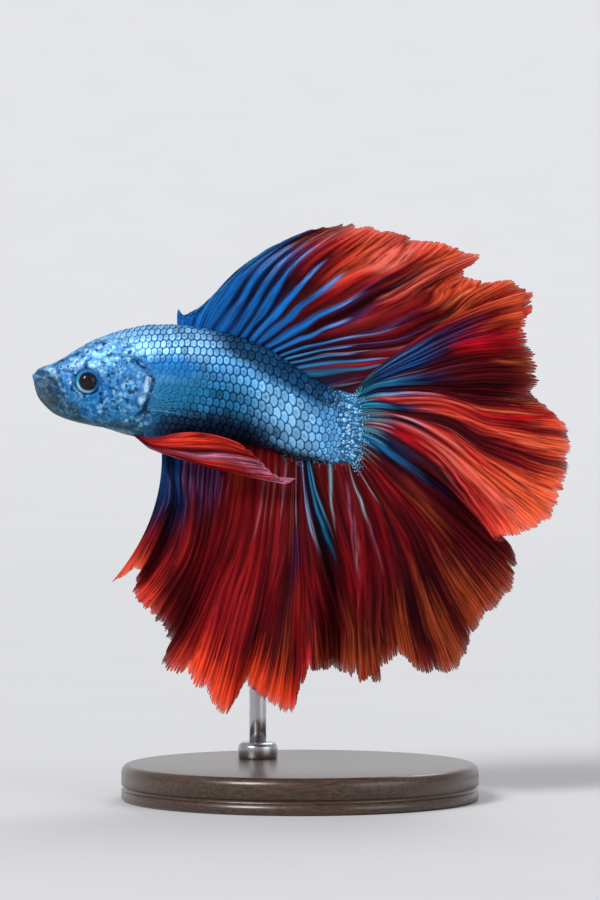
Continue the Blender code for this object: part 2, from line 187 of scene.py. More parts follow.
def eased(xs, ys, at):
    """The monotone cubic curve through the points (xs, ys), read at each place in at."""
    xs, ys = np.asarray(xs, float), np.asarray(ys, float)
    at = np.clip(np.asarray(at, float), xs[0], xs[-1])
    step = np.diff(xs)
    slope = np.diff(ys) / step
    before, after = slope[:-1], slope[1:]
    keeps_on = before * after > 0
    tangent = np.concatenate([slope[:1], np.zeros(len(xs) - 2), slope[-1:]])
    inner = tangent[1:-1]
    inner[keeps_on] = 2 * before[keeps_on] * after[keeps_on] / (before + after)[keeps_on]
    i = np.clip(np.searchsorted(xs, at, side="right") - 1, 0, len(step) - 1)
    t = (at - xs[i]) / step[i]
    start = (1 + 2 * t) * (1 - t) ** 2 * ys[i] + t * (1 - t) ** 2 * step[i] * tangent[i]
    end = t**2 * (3 - 2 * t) * ys[i + 1] + t**2 * (t - 1) * step[i] * tangent[i + 1]
    return start + end


def smooth(low, high, value):
    """0 below low, 1 above high and a soft step between them."""
    t = np.clip((value - low) / (high - low), 0, 1)
    return t * t * (3 - 2 * t)


def mix(a, b, share):
    """a where share is 0 and b where it is 1, for numbers or colours. A tuple is one colour everywhere."""
    colours = isinstance(a, tuple) or isinstance(b, tuple)
    a, b, share = np.asarray(a, float), np.asarray(b, float), np.asarray(share, float)
    if colours or a.ndim > share.ndim or b.ndim > share.ndim:
        share = share[..., None]
    return a * (1 - share) + b * share


def wander(x, seed, wavelength):
    """A smooth random curve between about -1 and 1."""
    x = np.asarray(x, float)
    phases = np.random.default_rng(seed).uniform(0, 2 * math.pi, 5)
    total = np.zeros_like(x)
    for k, phase in enumerate(phases):
        total += np.sin(2 * math.pi * x / wavelength * (0.6 + 0.37 * k) + phase)
    return total / 3


def bell(value, middle, width):
    """1 at the middle and a soft fall to 0 about two widths away."""
    return np.exp(-(((value - middle) / width) ** 2))


def running(steps):
    """The running total of some steps, from 0."""
    return np.concatenate([[0], np.cumsum(steps)])


def on_map(share):
    """A share of an OFBake map's width or height, kept off its edges."""
    return 0.02 + 0.96 * share


def unit(vectors):
    """The vectors at a length of 1."""
    return vectors / np.maximum(np.linalg.norm(vectors, axis=-1, keepdims=True), 1e-9)


def make_mesh(name, points, faces, colours=None, numbers=None, uv=None):
    """A mesh from points in mm, with a colour and named numbers for each point, and an OFBake map."""
    mesh = bpy.data.meshes.new(name)
    mesh.from_pydata((np.asarray(points) * MM).tolist(), [], faces)
    if colours is not None:
        layer = mesh.attributes.new("paint", "FLOAT_COLOR", "POINT")
        flat = np.concatenate([np.clip(colours, 0, 1), np.ones((len(colours), 1))], axis=1)
        layer.data.foreach_set("color", flat.astype(np.float32).ravel())
    for key, values in (numbers or {}).items():
        values = np.asarray(values, np.float32)
        if values.ndim == 1:
            mesh.attributes.new(key, "FLOAT", "POINT").data.foreach_set("value", values)
        else:
            mesh.attributes.new(key, "FLOAT_VECTOR", "POINT").data.foreach_set("vector", values.ravel())
    if uv is not None:
        corners = np.zeros(len(mesh.loops), np.int32)
        mesh.loops.foreach_get("vertex_index", corners)
        layer = mesh.uv_layers.new(name="OFBake")
        layer.data.foreach_set("uv", np.asarray(uv, np.float32)[corners].ravel())
    mesh.shade_smooth()
    return mesh


def add_piece(name, mesh, material, slot, *nodes):
    """Puts a mesh in the scene as a piece of the object, in place of the named CAD nodes."""
    piece = bpy.data.objects.new(name, mesh)
    bpy.context.scene.collection.objects.link(piece)
    mesh.materials.append(material)
    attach(piece, "root")
    if nodes:
        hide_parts(*nodes)
    return piece


def turns(count):
    """Evenly spaced angles once round."""
    return np.linspace(0, 2 * math.pi, count, endpoint=False)


def grid_faces(columns, rows, ring=False):
    """Quads over a grid of points that run along each column in turn. A ring closes on its first column."""
    faces = []
    for i in range(columns if ring else columns - 1):
        here, there = i * rows, (i + 1) % columns * rows
        for j in range(rows - 1):
            faces.append((here + j, there + j, there + j + 1, here + j + 1))
    return faces


def closed_faces(rings, around):
    """Faces over rings of points, then a pole that closes the first ring and one that closes the last."""
    faces = []
    for i in range(rings - 1):
        here, there = i * around, (i + 1) * around
        for j in range(around):
            after = (j + 1) % around
            faces.append((here + j, here + after, there + after, there + j))
    first_pole, last_pole = rings * around, rings * around + 1
    last_ring = (rings - 1) * around
    for j in range(around):
        after = (j + 1) % around
        faces.append((first_pole, after, j))
        faces.append((last_pole, last_ring + j, last_ring + after))
    return faces


# ---------------------------------------------------------------- shader tools


class Shade:
    """A material's node tree, with one short call for each kind of node that this scene needs."""

    def __init__(self, name):
        self.material = bpy.data.materials.new(name)
        self.material.use_nodes = True
        self.tree = self.material.node_tree
        self.tree.nodes.clear()

    def add(self, kind, inputs, **settings):
        """A node with these inputs, each one a value or another node's output, and these settings."""
        node = self.tree.nodes.new(kind)
        for key, value in settings.items():
            setattr(node, key, value)
        for key, value in inputs.items():
            if isinstance(value, bpy.types.NodeSocket):
                self.tree.links.new(value, node.inputs[key])
            else:
                node.inputs[key].default_value = value
        return node

    def attribute(self, name, output="Fac"):
        return self.add("ShaderNodeAttribute", {}, attribute_name=name).outputs[output]

    def paint(self):
        return self.attribute("paint", "Color")

    def stretched(self, vector, by):
        return self.add("ShaderNodeVectorMath", {0: vector, 1: by}, operation="MULTIPLY").outputs[0]

    def place(self):
        """Object coordinates in millimetres."""
        return self.stretched(self.add("ShaderNodeTexCoord", {}).outputs["Object"], (1 / MM,) * 3)

    def noise(self, vector, scale, detail, roughness=0.55):
        inputs = {"Vector": vector, "Scale": scale, "Detail": detail, "Roughness": roughness}
        return self.add("ShaderNodeTexNoise", inputs).outputs["Fac"]

    def cells(self, vector, scale):
        """The distance from the middle of the nearest cell."""
        return self.add("ShaderNodeTexVoronoi", {"Vector": vector, "Scale": scale}).outputs["Distance"]

    def ramp(self, value, low, high, start=0.0, end=1.0):
        """value's stretch from low to high as start to end, softly."""
        inputs = {"Value": value, "From Min": low, "From Max": high, "To Min": start, "To Max": end}
        return self.add("ShaderNodeMapRange", inputs, interpolation_type="SMOOTHSTEP").outputs[0]

    def math(self, operation, *values):
        return self.add("ShaderNodeMath", dict(enumerate(values)), operation=operation).outputs[0]

    def times(self, product, *others):
        """All of the values, multiplied."""
        for other in others:
            product = self.math("MULTIPLY", product, other)
        return product

    def colour(self, factor, a, b, blend="MIX"):
        """a where factor is 0, and where it is 1 b, or what the blend makes of both."""
        a = (*a, 1) if isinstance(a, tuple) else a
        b = (*b, 1) if isinstance(b, tuple) else b
        node = self.add("ShaderNodeMix", {0: factor, 6: a, 7: b}, data_type="RGBA", blend_type=blend)
        return node.outputs[2]

    def darkened(self, share, tone, by):
        """The tone, multiplied by a dark colour as far as share says."""
        return self.colour(share, tone, self.colour(1.0, tone, by, "MULTIPLY"))

    def bump(self, height, strength, distance, normal=None):
        """The normal over a relief that is distance mm high."""
        inputs = {"Height": height, "Strength": strength, "Distance": distance * MM}
        if normal:
            inputs["Normal"] = normal
        return self.add("ShaderNodeBump", inputs).outputs[0]

    def surface(self, **inputs):
        """A Principled shader. An underscore stands for a space in an input's name."""
        named = {key.replace("_", " "): value for key, value in inputs.items()}
        return self.add("ShaderNodeBsdfPrincipled", named).outputs[0]

    def blend(self, share, a, b):
        return self.add("ShaderNodeMixShader", {0: share, 1: a, 2: b}).outputs[0]

    def clear(self):
        """A shader that lets everything through."""
        return self.add("ShaderNodeBsdfTransparent", {}).outputs[0]

    def finish(self, shader):
        self.add("ShaderNodeOutputMaterial", {"Surface": shader})
        return self.material


# ---------------------------------------------------------------- the body's form


def outline(x):
    """Back, widest level, belly and half width of the solids at x, with the rounded end at the tail."""
    table = np.array(STATIONS)
    back, widest, belly, width = (eased(table[:, 0], table[:, k], x) for k in (1, 2, 3, 4))
    past = np.clip((np.asarray(x, float) - TAIL_X) / TAIL_ROUND, 0, 1)
    size = np.sqrt(1 - past**2)
    return widest + (back - widest) * size, widest, widest - (widest - belly) * size, width * size


def spine_y(x):
    """How far the tail's curve takes the body's middle to the left side at x."""
    return -BEND * (np.clip(np.asarray(x, float) - BEND_FROM, 0, None) / (TAIL_X - BEND_FROM)) ** 2


def spine_slope(x):
    """How fast spine_y changes with x."""
    reach = TAIL_X - BEND_FROM
    return -2 * BEND * np.clip(np.asarray(x, float) - BEND_FROM, 0, None) / reach**2


def flank_reach(x, z):
    """How far the solids' flank stands off the body's middle."""
    back, widest, belly, width = outline(x)
    share = np.where(z > widest, (z - widest) / (back - widest), (widest - z) / (widest - belly))
    return width * np.sqrt(np.clip(1 - share**2, 0, 1)) ** FLANK_FULLNESS


def skin_sections(xs, around):
    """Points of the skin at each x: around of them, evenly spaced, down the left side and up the right."""
    back, widest, belly, width = outline(xs)
    nose = np.clip((xs - NOSE_X) / NOSE_ROUND, 0, 1)
    nose = np.sqrt(1 - (1 - nose) ** 2)
    inset = SKIN_DEPTH * (1 - np.clip((xs - TAIL_X) / TAIL_ROUND, 0, 1))
    above = np.maximum(back - widest - inset, LEAST_HALF) * nose
    below = np.maximum(widest - belly - inset, LEAST_HALF) * nose
    side = np.maximum(width - inset, LEAST_HALF) * nose * mix(1.0, TAIL_TAPER, smooth(-1.0, TAIL_X + 1, xs))
    angle = np.linspace(0, 2 * math.pi, SECTION_STEPS)
    up, out = np.cos(angle), np.sin(angle)
    flank = -np.sign(out) * np.abs(out) ** FLANK_FULLNESS
    rows = []
    for i, x in enumerate(xs):
        z = widest[i] + up * np.where(up > 0, above[i], below[i])
        y = flank * side[i]
        far = running(np.hypot(np.diff(y), np.diff(z)))
        even = np.linspace(0, far[-1], around + 1)[:-1]
        y, z = np.interp(even, far, y), np.interp(even, far, z)
        rows.append(np.stack([np.full(around, x), y + spine_y(x), z], axis=-1))
    return np.stack(rows)


def grid_normals(points, ring):
    """Normals of a grid of points. ring says that its second direction closes on itself."""
    along = np.gradient(points, axis=0)
    if ring:
        across = np.roll(points, -1, axis=1) - np.roll(points, 1, axis=1)
    else:
        across = np.gradient(points, axis=1)
    return unit(np.cross(along, across))


# ---------------------------------------------------------------- features of the head, in side view


CURVE_STEPS = 8  # links of a chain for each two points that it is drawn through


def curve_through(points):
    """A smooth chain through a few points."""
    points = np.array(points, float)
    far = running(np.hypot(*np.diff(points, axis=0).T))
    at = np.linspace(0, far[-1], CURVE_STEPS * (len(points) - 1) + 1)
    return np.stack([eased(far, points[:, 0], at), eased(far, points[:, 1], at)], axis=-1)


def distance(x, z, chain):
    """The distance from a chain of points."""
    best = np.full(x.shape, 1e9)
    for (ax, az), (bx, bz) in zip(chain, chain[1:]):
        dx, dz = bx - ax, bz - az
        along = np.clip(((x - ax) * dx + (z - az) * dz) / (dx * dx + dz * dz), 0, 1)
        best = np.minimum(best, np.hypot(x - ax - along * dx, z - az - along * dz))
    return best


def stroke(x, z, chain, width):
    """1 on the chain and a soft fall to 0 about two widths away."""
    return bell(distance(x, z, chain), 0.0, width)


def spot(x, z, centre, radii, tilt=0.0, soft=0.35):
    """1 inside a tilted ellipse, with a soft edge."""
    tilt = math.radians(tilt)
    dx, dz = x - centre[0], z - centre[1]
    a = (dx * math.cos(tilt) + dz * math.sin(tilt)) / radii[0]
    b = (-dx * math.sin(tilt) + dz * math.cos(tilt)) / radii[1]
    return 1 - smooth(1 - soft, 1 + soft, np.hypot(a, b))


def mark(x, z, form):
    """A line, where form is a chain and a width, or else a spot: centre, radii, tilt and softness."""
    return (stroke if len(form) == 2 else spot)(x, z, *form)


def lay(tone, x, z, marks):
    """Lays marks on a colour, one after the other: colour, strength and the mark's form."""
    for colour, strength, *form in marks:
        tone = mix(tone, colour, strength * mark(x, z, form))
    return tone


UPPER_LIP = curve_through([(-37.2, 59.9), (-36.6, 60.35), (-36.0, 60.55), (-35.3, 60.45), (-34.7, 60.35)])
LOWER_LIP = curve_through([(-37.5, 59.6), (-37.3, 59.3), (-36.9, 59.0), (-36.0, 59.05), (-35.2, 59.25)])
MOUTH_CLEFT = curve_through([(-35.1, 59.1), (-34.5, 58.55), (-34.05, 57.9), (-33.65, 57.1), (-33.2, 56.1)])
MAXILLA = curve_through([(-34.5, 59.6), (-33.9, 58.8), (-33.4, 57.9), (-33.1, 57.0)])
MAXILLA_GROOVE = curve_through(
    [(-33.95, 60.45), (-33.7, 59.6), (-33.25, 58.55), (-32.95, 57.5), (-32.8, 56.4), (-32.85, 55.7)]
)
LACHRYMAL = curve_through([(-33.6, 59.4), (-33.25, 58.9), (-32.9, 58.3)])
NOSTRIL = curve_through([(-33.0, 60.0), (-32.3, 59.85), (-31.5, 59.7), (-30.7, 59.45)])
SNOUT_LINE = curve_through([(-34.4, 60.7), (-33.7, 61.0), (-32.7, 61.6), (-31.6, 62.1), (-30.3, 62.7)])
ORBIT = curve_through([(-31.45, 59.35), (-31.7, 58.6), (-31.6, 57.8), (-31.3, 57.0), (-30.75, 56.1)])
JAW_EDGE = curve_through(
    [(-37.1, 57.9), (-35.65, 55.8), (-33.9, 54.2), (-32.3, 53.2), (-30.3, 52.6), (-27.7, 52.3)]
)
THROAT_LINE = curve_through([(-31.0, 52.2), (-28.8, 52.05), (-26.4, 52.0), (-25.0, 52.3)])
CHEEK_EDGE = curve_through([(-26.6, 62.0), (-26.2, 60.6), (-26.1, 58.4), (-26.3, 56.2), (-27.4, 54.6)])
CHEEK_LINE = curve_through([(-30.5, 55.45), (-29.6, 55.5), (-28.7, 55.55)])
GILL_EDGE = curve_through(
    [(-24.2, 62.2), (-23.2, 61.7), (-22.3, 60.9), (-21.5, 60.0), (-21.0, 59.2), (-20.5, 58.7), (-20.6, 57.9),
     (-21.0, 56.8), (-21.4, 55.6), (-22.0, 54.6), (-22.7, 53.7), (-23.8, 53.0), (-25.0, 52.5), (-28.0, 52.2),
     (-31.0, 52.4)]
)
GILL_RIM = curve_through([(-21.0, 58.8), (-21.25, 57.9), (-21.6, 56.8), (-22.0, 55.7)])
GILL_SLIT = curve_through(
    [(-21.1, 59.25), (-20.5, 59.1), (-20.15, 58.5), (-20.3, 57.6), (-20.8, 56.4), (-21.4, 55.2)]
)
# dark flecks of the crown and gill cover: x, z, tilt
FLECKS = (
    (-26.0, 60.15, 50), (-26.0, 56.3, 60), (-25.8, 54.9, 5), (-26.9, 62.8, 10), (-27.8, 62.8, 0),
    (-28.4, 61.4, 30), (-30.4, 61.9, 20), (-27.8, 60.0, 45), (-23.1, 61.5, 30), (-23.9, 61.2, 40),
    (-24.6, 59.2, 70), (-25.1, 62.2, 20),
)
# pale beads below the gill cover: x, z
BEADS = (
    (-24.1, 52.9), (-23.3, 53.3), (-22.6, 53.0), (-22.1, 52.4), (-21.4, 52.6), (-20.6, 52.4), (-19.8, 52.7),
)
GILL_CORNER = (-22.7, 53.0)  # the gill cover's rear edge lies above it, and its lower edge in front of it
GILL_RISE = 0.45  # how far the cover's free edge stands out
GILL_FADE = 3.2  # and the distance over which it sinks back into the head
SLIT_DEEP = 0.22
SLIT_AT = 0.25  # its middle's distance behind the edge
SLIT_HALF = 0.22
SOCKET_RIM = (2.2, 0.28, 0.08)  # its radius, width and height
SOCKET_EDGE = (2.05, 1.6)  # how far from the eye's middle it starts, and has its full depth
SOCKET_DEPTHS = (0.25, 0.45)  # behind and above the eye, and how much deeper it is below and in front
# how far a mark stands out of the skin, in mm, and its form
RELIEF = (
    (0.08, UPPER_LIP, 0.20),
    (0.05, LOWER_LIP, 0.20),
    (-0.20, (-35.9, 59.55), (1.05, 0.42), -14, 0.5),  # the mouth
    (-0.20, MOUTH_CLEFT, 0.16),
    (0.12, MAXILLA, 0.30),
    (-0.22, MAXILLA_GROOVE, 0.15),
    (0.08, LACHRYMAL, 0.16),
    (-0.16, NOSTRIL, 0.17),
    (-0.07, SNOUT_LINE, 0.15),
    (-0.09, ORBIT, 0.20),
    (-0.08, THROAT_LINE, 0.14),
    (-0.08, CHEEK_EDGE, 0.25),
    (0.14, (-28.6, 55.3), (2.6, 1.6), -10, 0.35),  # the cheek
    *((0.09, bead, (0.34, 0.34), 0, 0.6) for bead in BEADS),
)


def behind_gill(x, z):
    """The distance from the gill cover's free edge: positive behind and below it, negative on the cover."""
    corner_x, corner_z = GILL_CORNER
    rear = GILL_EDGE[:, 1] > corner_z
    order = np.argsort(GILL_EDGE[rear, 1])
    edge_x = np.interp(z, GILL_EDGE[rear, 1][order], GILL_EDGE[rear, 0][order])
    order = np.argsort(GILL_EDGE[~rear, 0])
    edge_z = np.interp(x, GILL_EDGE[~rear, 0][order], GILL_EDGE[~rear, 1][order])
    on_cover = (x < edge_x) & ((z > edge_z) | (x > corner_x))
    far = distance(x, z, GILL_EDGE)
    return np.where(on_cover, -far, far)


def off_eye(x, z):
    """The distance from the middle of the eye."""
    return np.hypot(x - EYE_AT[0], z - EYE_AT[1])


def lower_front_of_eye(x, z):
    """1 below and in front of the eye's middle, where its socket is deepest, and 0 across from it."""
    return smooth(-1.2, 0.9, (EYE_AT[0] - x) + 0.9 * (EYE_AT[1] - z))


def head_relief(x, z):
    """How far the skin stands out, in mm: the gill cover and its slit, the eye socket, and RELIEF."""
    off_gill = behind_gill(x, z)
    ends = smooth(62.4, 61.4, z) * smooth(-29.5, -26.5, x)
    cover = smooth(0.16, -0.12, off_gill) * np.exp(np.minimum(off_gill, 0) / GILL_FADE)
    height = GILL_RISE * cover * ends
    height -= SLIT_DEEP * bell(off_gill, SLIT_AT, SLIT_HALF) * ends * smooth(52.6, 53.6, z)
    radius, width, rise = SOCKET_RIM
    height += rise * bell(off_eye(x, z), radius, width)
    shallow, deeper = SOCKET_DEPTHS
    height -= (shallow + deeper * lower_front_of_eye(x, z)) * smooth(*SOCKET_EDGE, off_eye(x, z))
    for rise, *form in RELIEF:
        height += rise * mark(x, z, form)
    return height


# ---------------------------------------------------------------- colours of the body

PALE = (0.23, 0.51, 0.84)
SKY = (0.105, 0.355, 0.71)
BLUE = (0.034, 0.205, 0.45)
REAR = (0.20, 0.49, 0.80)
VIVID = (0.009, 0.165, 0.47)
AZURE = (0.045, 0.33, 0.74)
TEAL = (0.008, 0.155, 0.33)
DEEP = (0.0025, 0.034, 0.095)
INK = (0.005, 0.008, 0.026)
CHIN = (0.021, 0.047, 0.047)
JAW = (0.036, 0.047, 0.042)
JAW_DARK = (0.014, 0.014, 0.016)
WHITISH = (0.46, 0.68, 0.86)
LILAC = (0.26, 0.34, 0.76)
ROSY = (0.26, 0.24, 0.27)
# painted shade inside the mouth
MOUTH_SHADE = (0.018, 0.042, 0.040)
# painted shade for the pectoral fin's pit
PIT_SHADE = (0.010, 0.008, 0.011)
PEARL = (0.20, 0.56, 0.72)
# marks, in the order in which they are laid: colour, strength, form
# the pale nape, the SKY patch on the upper flank and the bright REAR patch paint a highlight band along the
# flank, and the TEAL patch paints shade in the middle of it
FLANK_HIGHLIGHT_AND_SHADE = (
    (PALE, 0.85, (-17.0, 63.6), (9.0, 2.2), -6, 0.5),  # the nape
    (SKY, 0.8, (-8.2, 59.7), (5.0, 2.2), -36, 0.5),
    (VIVID, 0.9, (-17.8, 60.2), (3.8, 2.1), 0, 0.5),
    (TEAL, 0.9, (-14.6, 55.8), (6.6, 2.9), -8, 0.5),
    (SKY, 0.40, (-18.6, 58.8), (2.2, 0.55), -8, 0.6),
    (REAR, 0.95, (-1.8, 52.6), (6.8, 3.4), -38, 0.5),
)
# painted shade: darker marks in the middle of the flank
FLANK_PAINTED_SHADE = (
    ((0.008, 0.12, 0.27), 0.75, (-8.2, 53.8), (4.8, 2.6), -38, 0.6),
    ((0.010, 0.15, 0.33), 0.50, (-8.4, 57.0), (3.6, 2.0), -36, 0.5),
)
CROWN_AND_COVER = (
    (PALE, 0.85, (-26.8, 62.8), (7.0, 2.3), 22, 0.5),
    ((0.24, 0.58, 0.72), 0.55, (-27.2, 61.4), (1.6, 0.9), 20, 0.6),
    (SKY, 0.75, (-23.8, 58.4), (2.9, 3.9), 0, 0.4),
    (VIVID, 0.70, (-26.6, 57.4), (1.5, 2.6), 0, 0.5),
    (TEAL, 0.60, (-25.2, 54.0), (3.2, 1.4), -6, 0.5),
)
JAW_MARKS = (
    (JAW_DARK, 0.7, (-35.5, 58.1), (0.5, 0.3), -30, 0.6),
    (JAW_DARK, 0.6, (-34.9, 57.2), (0.8, 0.35), -50, 0.6),
    (JAW_DARK, 0.92, (-33.5, 56.6), (0.55, 0.95), 18, 0.5),  # below the maxilla
    ((0.11, 0.17, 0.18), 0.5, JAW_EDGE, 0.30),
    (WHITISH, 0.80, (-34.6, 59.95), (0.50, 0.46), -35, 0.5),
    ((0.15, 0.25, 0.34), 0.85, MAXILLA, 0.24),
)
# painted shade inside the mouth's opening
MOUTH_SHADE_MARKS = (
    (MOUTH_SHADE, 0.95, (-35.95, 59.60), (1.05, 0.46), -12, 0.4),
    (JAW_DARK, 0.6, (-35.7, 59.45), (0.8, 0.26), -14, 0.6),
)
# the bright patches and dark lines between the mouth and the eye, and on the cheek, with a painted highlight
# on the lachrymal ridge and painted shade along the grooves
SNOUT_MARKS = (
    (LILAC, 0.6, (-32.0, 60.75), (0.9, 0.45), 25, 0.5),
    (LILAC, 0.5, (-30.6, 60.9), (0.8, 0.45), 20, 0.5),
    ((0.34, 0.16, 0.46), 0.6, (-31.1, 60.8), (0.25, 0.2), 0, 0.6),
    (VIVID, 0.95, (-32.2, 57.6), (0.62, 1.75), 8, 0.4),
    ((0.13, 0.34, 0.84), 0.85, (-32.1, 58.5), (0.42, 0.5), 20, 0.5),
    (AZURE, 0.8, (-32.15, 57.0), (0.32, 0.28), 0, 0.5),
    ((0.25, 0.62, 0.85), 0.7, (-32.25, 56.35), (0.42, 0.12), -8, 0.5),
    (VIVID, 0.92, (-28.6, 55.3), (2.3, 1.75), -12, 0.4),
    (AZURE, 0.85, (-29.1, 54.15), (0.52, 0.52), 0, 0.5),
    (AZURE, 0.85, (-27.8, 54.45), (0.46, 0.46), 0, 0.5),
    (AZURE, 0.85, (-28.2, 55.75), (0.50, 0.50), 0, 0.5),
    ((0.10, 0.45, 0.70), 0.8, CHEEK_LINE, 0.10),
    # a painted highlight along the lachrymal ridge
    (WHITISH, 0.8, LACHRYMAL, 0.12),
    # painted shade along the grooves: the maxilla groove, the nostril, the snout line, the orbit and the
    # throat line
    (DEEP, 0.92, MAXILLA_GROOVE, 0.17),
    ((0.02, 0.028, 0.055), 0.92, NOSTRIL, 0.22),
    (DEEP, 0.85, SNOUT_LINE, 0.14),
    (DEEP, 0.85, ORBIT, 0.20),
    (DEEP, 0.7, THROAT_LINE, 0.12),
)
BELOW_GILL = (
    # painted shade in the pectoral fin's pit
    (PIT_SHADE, 0.92, (-21.1, 54.5), (0.85, 1.0), 20, 0.4),  # the pectoral fin's pit
    ((0.16, 0.24, 0.28), 0.7, (-25.1, 51.4), (1.9, 0.5), -12, 0.5),
    *((PEARL, 0.9, bead, (0.30, 0.30), 0, 0.5) for bead in BEADS),
)
FLECK_MARKS = tuple((DEEP, 0.85, (x, z), (0.27, 0.14), tilt, 0.5) for x, z, tilt in FLECKS)


def body_tone(x, z):
    """The body's colour in side view, the same for the skin and its scales, with a painted highlight band
    along the flank and painted shade on the flank and under the belly.
    """
    back, _, belly, _ = outline(x)
    low = (z - belly) / np.maximum(back - belly, 0.1)
    tone = mix(BLUE, SKY, smooth(-12, -24, x) * smooth(0.2, 0.6, low))
    tone = lay(tone, x, z, FLANK_HIGHLIGHT_AND_SHADE)
    tone = mix(tone, SKY, 0.6 * smooth(1, 4, x))
    tone = lay(tone, x, z, FLANK_PAINTED_SHADE)
    deepest = 0.86 - 0.10 * smooth(-12, -4, x)
    back_band = smooth(deepest - 0.12, deepest + 0.02, low)
    tone = mix(tone, DEEP, 0.95 * back_band * smooth(-14, -9, x) * smooth(8.6, 6.0, x))
    # painted shade under the belly: a dark patch on its lower front and a dark strip along its lower edge
    tone = mix(tone, INK, 0.95 * spot(x, z, (-12.6, 51.3), (9.4, 3.0), -5, 0.45))
    return mix(tone, INK, 0.8 * smooth(0.13, 0.03, low) * smooth(-19, -16, x) * smooth(6, 1, x))


def jaw_tone(tone, x, z):
    """The grey-green chin and jaws, and painted shade in the mouth and its cleft, laid over the head's
    colour.
    """
    tone = mix(tone, CHIN, 0.92 * smooth(57.0, 55.4, z + 0.25 * (x + 34)) * smooth(-29.0, -31.0, x))
    tone = mix(tone, CHIN, 0.85 * smooth(53.6, 52.6, z) * smooth(-21, -23, x))
    tone = mix(tone, JAW, 0.9 * smooth(-33.3, -34.0, x) * smooth(59.3, 58.9, z) * smooth(-37.5, -36.9, x))
    tone = lay(tone, x, z, JAW_MARKS)
    tone = mix(tone, ROSY, 0.8 * stroke(x, z, UPPER_LIP, 0.16) * smooth(-34.9, -35.6, x))
    tone = lay(tone, x, z, MOUTH_SHADE_MARKS)
    tone = mix(tone, (0.15, 0.25, 0.27), 0.75 * stroke(x, z, LOWER_LIP, 0.11) * smooth(-35.9, -36.7, x))
    # painted shade in the mouth's cleft
    return mix(tone, JAW_DARK, 0.85 * stroke(x, z, MOUTH_CLEFT, 0.18))


def gill_tone(tone, x, z):
    """The gill cover's white rim, painted shade in the slit and the hollow behind it, and the beads below."""
    off_gill = behind_gill(x, z)
    tone = mix(tone, WHITISH, 0.95 * stroke(x, z, GILL_RIM, 0.50) * smooth(0.1, -0.1, off_gill))
    tone = mix(tone, (0.48, 0.44, 0.52), 0.6 * spot(x, z, (-20.85, 58.5), (0.25, 0.4), 0, 0.5))
    # painted shade in the slit under the cover's free edge
    tone = mix(tone, INK, 0.95 * stroke(x, z, GILL_SLIT, 0.26) * smooth(-0.1, 0.1, off_gill))
    return lay(tone, x, z, BELOW_GILL)


def head_tone(x, z):
    """The head's colour in side view, over the body's, with painted shade round the eye, deepest below and in
    front of it.
    """
    tone = lay(body_tone(x, z), x, z, CROWN_AND_COVER)
    tone = lay(jaw_tone(tone, x, z), x, z, SNOUT_MARKS)
    tone = lay(gill_tone(tone, x, z), x, z, FLECK_MARKS)
    tone = mix(tone, WHITISH, 0.6 * spot(x, z, (-30.1, 60.2), (0.75, 0.32), 12, 0.5))
    # painted shade in the eye's socket, deepest below and in front of the eye
    dark = 0.35 + 0.45 * lower_front_of_eye(x, z)
    return mix(tone, DEEP, dark * smooth(1.80, 1.5, off_eye(x, z)))


# ---------------------------------------------------------------- skin

AROUND = 340  # points round each section
HEAD_STEP = 0.11  # the distance between sections, up to NECK_X and behind it
TRUNK_STEP = 0.42
NECK_X = -18.0
NOSE_ANGLES = np.radians(np.arange(4, 90, 6))  # of the sections on the rounded nose and tail end
TAIL_ANGLES = np.radians(np.arange(0, 88, 6))
# painted shade: the skin is darkened where it shows between the tail stem's beads
SHADE_BETWEEN_BEADS = (0.010, 0.085, 0.20)  # the tail stem's skin, between its beads


def skin_grid():
    """The x of each skin section, its points before the head's relief, their normals and its final points."""
    nose = NOSE_X + NOSE_ROUND * (1 - np.cos(NOSE_ANGLES))
    head = np.arange(nose[-1] + HEAD_STEP, NECK_X, HEAD_STEP)
    trunk = np.arange(NECK_X, TAIL_X, TRUNK_STEP)
    tail = TAIL_X + TAIL_ROUND * np.sin(TAIL_ANGLES)
    xs = np.concatenate([nose, head, trunk, tail])
    plain = skin_sections(xs, AROUND)
    normals = -grid_normals(plain, ring=True)
    relief = head_relief(plain[..., 0], plain[..., 2])
    points = plain + normals * relief[..., None]
    points[..., 0] = np.maximum(points[..., 0], NOSE_X + 0.02)
    return xs, plain, normals, points


def skin_map(xs):
    """The skin's OFBake map: its length along u, and its left and right flank in v's two halves."""
    sections = len(xs)
    turn = np.linspace(-1, 1, AROUND)
    u = np.append(np.repeat((xs - xs[0]) / (xs[-1] - xs[0]), AROUND), [0, 1])
    v = np.append(np.tile(np.abs(turn), sections), [0.5, 0.5])
    right = np.append(np.tile(turn > 0, sections), [False, False])
    return np.stack([on_map(u), np.where(right, 0.51 + 0.48 * v, 0.49 - 0.48 * v)], axis=-1)


def speckling(x, z):
    """How strongly the skin's flecks and pale patches show: on the head, less on the belly, jaws and chin."""
    head = smooth(-17.5, -20.5, x) * (0.35 + 0.65 * smooth(53.0, 54.5, z))
    chin = smooth(57.6, 56.0, z + 0.25 * (x + 34)) * smooth(-29.0, -31.0, x)
    return head * (0.30 + 0.70 * smooth(-34.4, -33.2, x)) * (1 - 0.60 * chin)


def add_skin(xs, points):
    """One skin over the head, trunk and tail stem, in place of the six nodes of flesh."""
    ends = np.stack([points[0].mean(0), points[-1].mean(0)])
    every = np.concatenate([points.reshape(-1, 3), ends])
    x, z = every[:, 0], every[:, 2]
    # painted shade on the tail stem's skin between its beads
    tone = mix(head_tone(x, z), SHADE_BETWEEN_BEADS, 0.85 * smooth(2.6, 4.8, x))
    faces = closed_faces(len(xs), AROUND)
    mesh = make_mesh("skin", every, faces, tone, {"speckled": speckling(x, z)}, skin_map(xs))
    nodes = ("head", "lower_jaw", "gill_cover_left", "gill_cover_right", "trunk", "tail_stem")
    add_piece("skin", mesh, skin_material(), "scaled_skin", *nodes)


